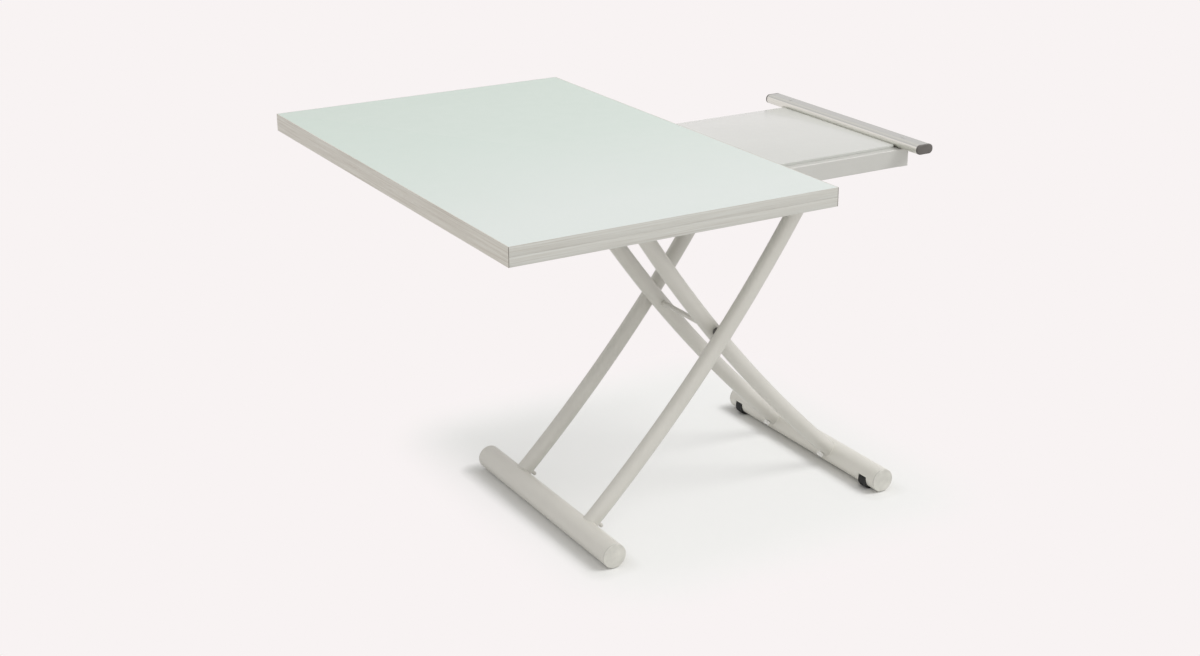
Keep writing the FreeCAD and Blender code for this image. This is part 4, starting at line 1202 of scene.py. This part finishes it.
@dataclass
class LegPair:
    """Two bent leg tubes of one scissor arm, welded to their foot."""

    body: str
    leg_y: float
    mirrored: bool
    tube: float = 0.018
    bend: float = 3.378
    foot_radius: float = 0.027
    drop: float = 3.5 * MM
    setback: float = 0.021
    bead: float = 1.4 * MM
    ripple: float = 2.4 * MM
    ripple_depth: float = 0.09
    seed: int = 7

    def __post_init__(self) -> None:
        """Find the bend's centre, and the angles at the foot and the axle."""
        self.foot_x, _, self.foot_z = middle_of("plain_foot")
        axle_x, _, axle_z = middle_of("outer_leg_axle")
        self.cross_x = middle_of("scissor_axle").x
        low_z = self.foot_z - self.drop
        run, rise = axle_x - self.foot_x, axle_z - low_z
        chord = math.hypot(run, rise)
        offset = math.sqrt(self.bend ** 2 - chord ** 2 / 4)
        self.centre_x = (self.foot_x + axle_x) / 2 - offset * rise / chord
        self.centre_z = (low_z + axle_z) / 2 + offset * run / chord
        self.start = math.atan2(low_z - self.centre_z, self.foot_x - self.centre_x)
        self.stop = math.atan2(axle_z - self.centre_z, axle_x - self.centre_x)

    def placed(self, x: float) -> float:
        """Give an X on this arm, mirrored about the crossing for the other arm."""
        return 2 * self.cross_x - x if self.mirrored else x

    def spot(self, angle: float, reach: float, y: float) -> Point:
        """Give a point of the bend.

        Args:
            angle: its angle round the bend's centre.
            reach: its distance past the tube's centre line.
            y: its distance from the middle.

        Returns:
            The point.
        """
        x = self.centre_x + (self.bend + reach) * math.cos(angle)
        z = self.centre_z + (self.bend + reach) * math.sin(angle)
        return (self.placed(x), y, z)

    def seam(self, y: float, count: int = 72, halvings: int = 40) -> list[Point]:
        """Follow the line where a leg tube meets the foot tube.

        Args:
            y: the leg's distance from the middle.
            count: points in the line.
            halvings: steps that close in on each point.

        Returns:
            The points, in order round the leg.
        """
        foot_x = self.placed(self.foot_x)
        line = []
        for step in range(count):
            round_leg = math.tau * step / count
            reach = self.tube * math.cos(round_leg)
            near, far = self.start, self.start + 3 * self.foot_radius / self.bend
            for _ in range(halvings):
                middle = (near + far) / 2
                x, _, z = self.spot(middle, reach, y)
                if math.hypot(x - foot_x, z - self.foot_z) < self.foot_radius:
                    near = middle
                else:
                    far = middle
            line.append(self.spot(near, reach, y + self.tube * math.sin(round_leg)))
        return line

    def build(self) -> None:
        """Make the two tubes and their weld beads."""
        sides = (-self.leg_y, self.leg_y)
        centres = points_mesh([(self.placed(self.centre_x), y, self.centre_z) for y in sides])
        tubes = tube_recipe().make(f"{self.body}_tubes", centres, GREY, {
            "Bend Radius": self.bend, "Start Angle": self.start, "Tube Radius": self.tube,
            "Sweep Angle": self.stop - self.start - self.setback / self.bend,
            "Heading": math.pi if self.mirrored else 0.0})
        leg = self.body.removesuffix("s")
        settle(tubes, self.body, "grey_paint", f"{leg}_near", f"{leg}_far")
        points, edges = [], []
        for y in sides:
            line = self.seam(y)
            first = len(points)
            points += line
            edges += [(first + step, first + (step + 1) % len(line)) for step in range(len(line))]
        beads = bead_recipe().make(f"{self.body}_weld_beads", points_mesh(points, edges), GREY, {
            "Bead Radius": self.bead, "Ripple Pitch": self.ripple, "Ripple Depth": self.ripple_depth,
            "Seed": self.seed})
        settle(beads, self.body, "grey_paint")


@dataclass
class Scissor:
    """Both scissor arms with their feet, crossing axle and fixings."""

    outer: LegPair = field(default_factory=lambda: LegPair("outer_legs", 0.151, False))
    inner: LegPair = field(default_factory=lambda: LegPair("inner_legs", 0.1065, True, bead=0.7 * MM))
    screw_rise: float = 0.036

    def build(self) -> None:
        """Make the legs, and dress the feet and the fixings."""
        self.outer.build()
        self.inner.build()
        # The feet's lighter copies of the legs' paint are painted light.
        dress(FOOT_GREY_WITH_PAINTED_LIGHT, "plain_foot")
        dress(WHEEL_FOOT_GREY_WITH_PAINTED_LIGHT, "wheel_foot")
        dress(GREY, "stop_pegs", "scissor_axle")
        dress(GREY_CAP, "plain_foot_caps", "wheel_foot_caps", "scissor_bushes")
        dress(DARK_NYLON, "scissor_spacers")
        dress(BLACK_NYLON, "outer_leg_eyes", "inner_leg_eyes", "slide_block_near", "slide_block_far")
        dress(GREY_NYLON, "foot_glides")
        dress(ZINC, "outer_leg_axle", "slide_axle", "axle_spacers", "slide_spacers", "wheel_axles")
        dress(CAST, "axle_blocks")
        self.leg_screws()

    def leg_screws(self) -> None:
        """Set a six-sided screw under each inner leg, near the foot."""
        leg = self.inner
        angle = leg.start + self.screw_rise / leg.bend
        points = [leg.spot(angle, leg.tube, way * leg.leg_y) for way in (-1, 1)]
        # The screws' near-white coat is a painted glint.
        screws = screw_set("leg_hex_screws", points, (0.0, angle - UPRIGHT, 0.0), LEG_SCREW, ZINC_WITH_PAINTED_GLINT)
        settle(screws, leg.body, "zinc", "leg_screws")


@dataclass
class Wheels:
    """The two wheels in the slots of the wheeled foot, with sizes in millimetres."""

    bore: float = 3.05
    hub: float = 13.5
    radius: float = 19.0
    half: float = 12.0
    groove_depth: float = 0.7
    groove_mouth: float = 0.7
    groove_floor: float = 0.4
    groove_pitch: float = 5.0
    dish: tuple[Flat, ...] = ((5.2, 0.0), (5.7, 0.6), (6.0, 3.0), (10.9, 3.0), (11.3, 0.6), (11.8, 0.0))

    def tread(self) -> list[Flat]:
        """List the tyre's closed profile, with three grooves round the tread.

        Returns:
            Radius and place along the axis of each point.
        """
        profile = [(self.hub, -self.half), *rounded_end(self.radius, -self.half, 1)]
        for middle in (-self.groove_pitch, 0.0, self.groove_pitch):
            profile += groove(self.radius, middle, self.groove_depth, self.groove_mouth, self.groove_floor)
        return profile + rounded_end(self.radius, self.half, -1)[::-1] + [(self.hub, self.half)]

    def core(self) -> list[Flat]:
        """List the hub's closed profile, dished on both faces.

        Returns:
            Radius and place along the axis of each point.
        """
        outline = ((self.bore, 0.0), *self.dish, (self.hub, 0.0))
        face = [(reach, depth - self.half) for reach, depth in outline]
        return face + [(reach, -along) for reach, along in reversed(face)]

    def build(self) -> None:
        """Turn both tyres and hubs."""
        for side in ("near", "far"):
            axis = Matrix.Translation(middle_of(f"{side}_wheel_tyre")) @ Matrix.Rotation(UPRIGHT, 4, "X")
            for part, profile, finish, slot in (("tyre", self.tread(), RUBBER, "black_tyre"),
                                                ("hub", self.core(), GREY_NYLON, "grey_nylon")):
                shell = Shell()
                shell.lathe(profile, axis)
                piece = shell.piece(f"{side}_turned_{part}", finish)
                settle(piece, f"{side}_wheel", slot, f"{side}_wheel_{part}")


@dataclass
class SpringBarrel:
    """The cylinder of the lockable gas spring, with sizes in millimetres."""

    radius: float = 11.0
    bore: float = 9.5
    mouth: float = 5.05
    guide: float = 14.0
    floor: float = 6.0
    crimp_at: float = 11.0
    crimp_depth: float = 0.9
    crimp_mouth: float = 2.0
    crimp_floor: float = 0.6

    def build(self) -> None:
        """Turn the barrel, with a crimp behind its mouth."""
        low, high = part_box("gas_spring_cylinder")
        length = (high.x - low.x) / MM
        end = length - self.floor
        profile = [(self.mouth, 0.0), *rounded_end(self.radius, 0.0, 1),
                   *groove(self.radius, self.crimp_at, self.crimp_depth, self.crimp_mouth, self.crimp_floor),
                   *reversed(rounded_end(self.radius, length, -1)),
                   (0.0, length), (0.0, end), (self.bore, end), (self.bore, self.guide),
                   (self.mouth, self.guide)]
        place = Vector((low.x, *((low + high) / 2).yz))
        shell = Shell()
        shell.lathe(profile, Matrix.Translation(place) @ Matrix.Rotation(UPRIGHT, 4, "Y"))
        piece = shell.piece("spring_barrel", SPRING_BLACK)
        settle(piece, "underframe", "black_spring", "gas_spring_cylinder")


@dataclass
class LiftSpring:
    """The lockable gas spring with its release head, lever and grip."""

    barrel: SpringBarrel = field(default_factory=SpringBarrel)
    rib_pitch: float = 4.6 * MM
    rib: float = 0.9 * MM
    rib_corner: float = 4.0 * MM
    bare_ends: float = 10.0 * MM

    def build(self) -> None:
        """Turn the barrel, dress the rest and rib the grip."""
        self.barrel.build()
        dress(CHROME, "gas_spring_rod")
        dress(CAST, "release_head")
        dress(GREY, "release_lever")
        dress(ZINC, "lever_pin")
        dress(BLACK_NYLON, "lever_grip")
        self.grip()

    def grip(self) -> None:
        """Set ribs along the lever's grip."""
        low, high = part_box("lever_grip")
        middle = (low + high) / 2
        count = int((high.x - low.x - self.bare_ends) / self.rib_pitch)
        start = middle.x - self.rib_pitch * (count - 1) / 2
        points = [(start + self.rib_pitch * step, middle.y, middle.z) for step in range(count)]
        ribs = rib_recipe().make("lever_grip_ribs", points_mesh(points), BLACK_NYLON, {
            "Width": high.y - low.y - self.rib, "Height": high.z - low.z - self.rib,
            "Corner Radius": self.rib_corner, "Rib Radius": self.rib})
        settle(ribs, "release", "black_nylon")


@dataclass
class Studio:
    """Pale floor, soft light and a pale backdrop."""

    backdrop: Colour = (0.939, 0.896, 0.896)
    ground: Colour = (0.86, 0.855, 0.84)
    ambient: float = 0.55
    key: float = 1.40
    key_spread: float = math.radians(30)
    key_from: Point = (0.87, -0.66, 1.38)
    fill: float = 0.45
    fill_spread: float = math.radians(100)
    fill_from: Point = (-0.60, -0.50, 0.75)
    reach: float = 40.0
    # A painted grey shade round the table's base, fading into the backdrop's colour.
    pool: Colour = (0.935, 0.933, 0.918)
    pool_reach: float = 0.26
    pool_low: Point = (0.10, 0.0, 0.0)
    pool_high: Point = (-0.03, 0.15, 0.0)
    contact_reach: float = 0.07
    shade_apart: float = 0.47

    def shown(self, bench: NodeBench) -> Socket:
        """Find the rays that show the backdrop: camera, glossy and transmission rays.

        Args:
            bench: the node tree of the floor or the world.

        Returns:
            1 for such a ray, and otherwise 0.
        """
        rays = bench.add("ShaderNodeLightPath").outputs
        either = bench.math("MAXIMUM", rays["Is Camera Ray"], rays["Is Glossy Ray"])
        return bench.math("MAXIMUM", either, rays["Is Transmission Ray"])

    def apart(self, bench: NodeBench, low: Vector, high: Vector) -> Socket:
        """Measure each floor point's distance from a box.

        Args:
            bench: the floor's node tree.
            low: the box's lowest corner.
            high: the box's highest corner.

        Returns:
            The distance along the floor.
        """
        value = bench.add("ShaderNodeTexCoord").outputs["Object"]
        for operation, other in (("SUBTRACT", (low + high) / 2), ("ABSOLUTE", Vector()),
                                 ("SUBTRACT", (high - low) / 2), ("MAXIMUM", Vector()),
                                 ("MULTIPLY", Vector((1.0, 1.0, 0.0)))):
            value = bench.give("ShaderNodeVectorMath", {0: value, 1: other}, operation=operation)
        return bench.add("ShaderNodeVectorMath", {0: value}, operation="LENGTH").outputs["Value"]

    def fade(self, bench: NodeBench, apart: Socket, reach: float, near: float = 1.0) -> Socket:
        """Fade a value out with the distance from a box.

        Args:
            bench: the floor's node tree.
            apart: the distance.
            reach: distance at which the value is 0.
            near: the value at the box.

        Returns:
            The value.
        """
        return bench.give("ShaderNodeMapRange", {
            "Value": apart, "From Min": 0.0, "From Max": reach, "To Min": near, "To Max": 0.0},
            interpolation_type="SMOOTHSTEP")

    def floor_material(self) -> bpy.types.Material:
        """Make the floor's material: the backdrop's colour, greyed by painted shade round the table's base,
        and the table's real shadow.

        Returns:
            The material.
        """
        material = bpy.data.materials.new("pale_floor")
        material.use_nodes = True
        material.node_tree.nodes.clear()
        bench = NodeBench(material.node_tree)
        plain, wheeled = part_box("plain_foot"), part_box("wheel_foot")
        apart = self.apart(bench, plain[0] + Vector(self.pool_low), wheeled[1] + Vector(self.pool_high))
        # Painted shade: the backdrop's colour greys towards the table's base.
        tone = bench.add("ShaderNodeMix", {
            0: self.fade(bench, apart, self.pool_reach), 6: (*self.backdrop, 1.0), 7: (*self.pool, 1.0)},
            data_type="RGBA")
        matt = bench.give("ShaderNodeBsdfDiffuse", {"Color": (*self.ground, 1.0)})
        glow = bench.give("ShaderNodeEmission", {"Color": tone.outputs[2], "Strength": 1.0})
        nearest = bench.math("MINIMUM", self.apart(bench, *plain), self.apart(bench, *wheeled))
        contact = self.fade(bench, nearest, self.contact_reach)
        wide = self.fade(bench, apart, self.pool_reach, self.shade_apart)
        unshaded = bench.math("SUBTRACT", 1.0, bench.math("MAXIMUM", contact, wide))
        share = bench.math("MULTIPLY", self.shown(bench), unshaded)
        mixed = bench.give("ShaderNodeMixShader", {0: share, 1: matt, 2: glow})
        bench.add("ShaderNodeOutputMaterial", {"Surface": mixed})
        return material

    def floor(self) -> None:
        """Lay the floor."""
        half = self.reach / 2
        mesh = bpy.data.meshes.new("floor")
        corners = [(-half, -half, 0.0), (half, -half, 0.0), (half, half, 0.0), (-half, half, 0.0)]
        mesh.from_pydata(corners, [], [(0, 1, 2, 3)])
        mesh.materials.append(self.floor_material())
        ground = put("floor", mesh)

    def lamp(self, name: str, energy: float, spread: float, source: Point) -> None:
        """Set one soft, distant lamp.

        Args:
            name: the lamp's name.
            energy: its strength.
            spread: the angle that it fills, as seen from the table.
            source: the direction that its light comes from.
        """
        data = bpy.data.lights.new(name, "SUN")
        data.energy = energy
        data.angle = spread
        sun = put(name, data)
        sun.rotation_euler = Vector(source).to_track_quat("Z", "Y").to_euler()

    def light(self) -> None:
        """Set the soft key light, a weak fill and the ambient world."""
        self.lamp("key", self.key, self.key_spread, self.key_from)
        self.lamp("fill", self.fill, self.fill_spread, self.fill_from)
        world = bpy.data.worlds.new("studio")
        world.use_nodes = True
        world.node_tree.nodes.clear()
        bench = NodeBench(world.node_tree)
        soft = bench.give("ShaderNodeBackground", {"Color": (1.0, 1.0, 1.0, 1.0), "Strength": self.ambient})
        pale = bench.give("ShaderNodeBackground", {"Color": (*self.backdrop, 1.0), "Strength": 1.0})
        mixed = bench.give("ShaderNodeMixShader", {0: self.shown(bench), 1: soft, 2: pale})
        bench.add("ShaderNodeOutputWorld", {"Surface": mixed})
        bpy.context.scene.world = world

    def build(self) -> None:
        """Set up the floor, the light and the plain view."""
        self.floor()
        self.light()
        bpy.context.scene.view_settings.view_transform = "Standard"


@dataclass
class Viewpoint:
    """The camera at the photograph's angle."""

    place: Point = (-1.88085, -3.09470, 1.76890)
    yaw: float = 0.526499
    pitch: float = 0.361575
    roll: float = -0.00533
    lens: float = 53.120
    sensor: float = 36.0

    def build(self) -> None:
        """Make the camera and set it as the scene's."""
        level = math.cos(self.pitch)
        ahead = Vector((math.sin(self.yaw) * level, math.cos(self.yaw) * level, -math.sin(self.pitch)))
        right = Vector((math.cos(self.yaw), -math.sin(self.yaw), 0.0))
        above = right.cross(ahead)
        across = math.cos(self.roll) * right + math.sin(self.roll) * above
        upward = math.cos(self.roll) * above - math.sin(self.roll) * right
        data = bpy.data.cameras.new("photo_view")
        data.lens = self.lens
        data.sensor_fit = "HORIZONTAL"
        data.sensor_width = self.sensor
        camera = put("photo_view", data)
        turn = Matrix((across, upward, -ahead)).transposed().to_4x4()
        camera.matrix_world = Matrix.Translation(self.place) @ turn
        bpy.context.scene.camera = camera


def main() -> None:
    """Build the studio and the table's pieces in order."""
    logging.basicConfig(level=logging.INFO, format="%(name)s: %(message)s")
    for part in (Viewpoint(), Studio(), GlassTop(), Leaf("upper_leaf", plate_at_top=False),
                 Leaf("lower_leaf", plate_at_top=True), BookHinges(), Swivel(), EndBars(), Underframe(),
                 Scissor(), Wheels(), LiftSpring()):
        part.build()


if __name__ == "__main__":
    main()
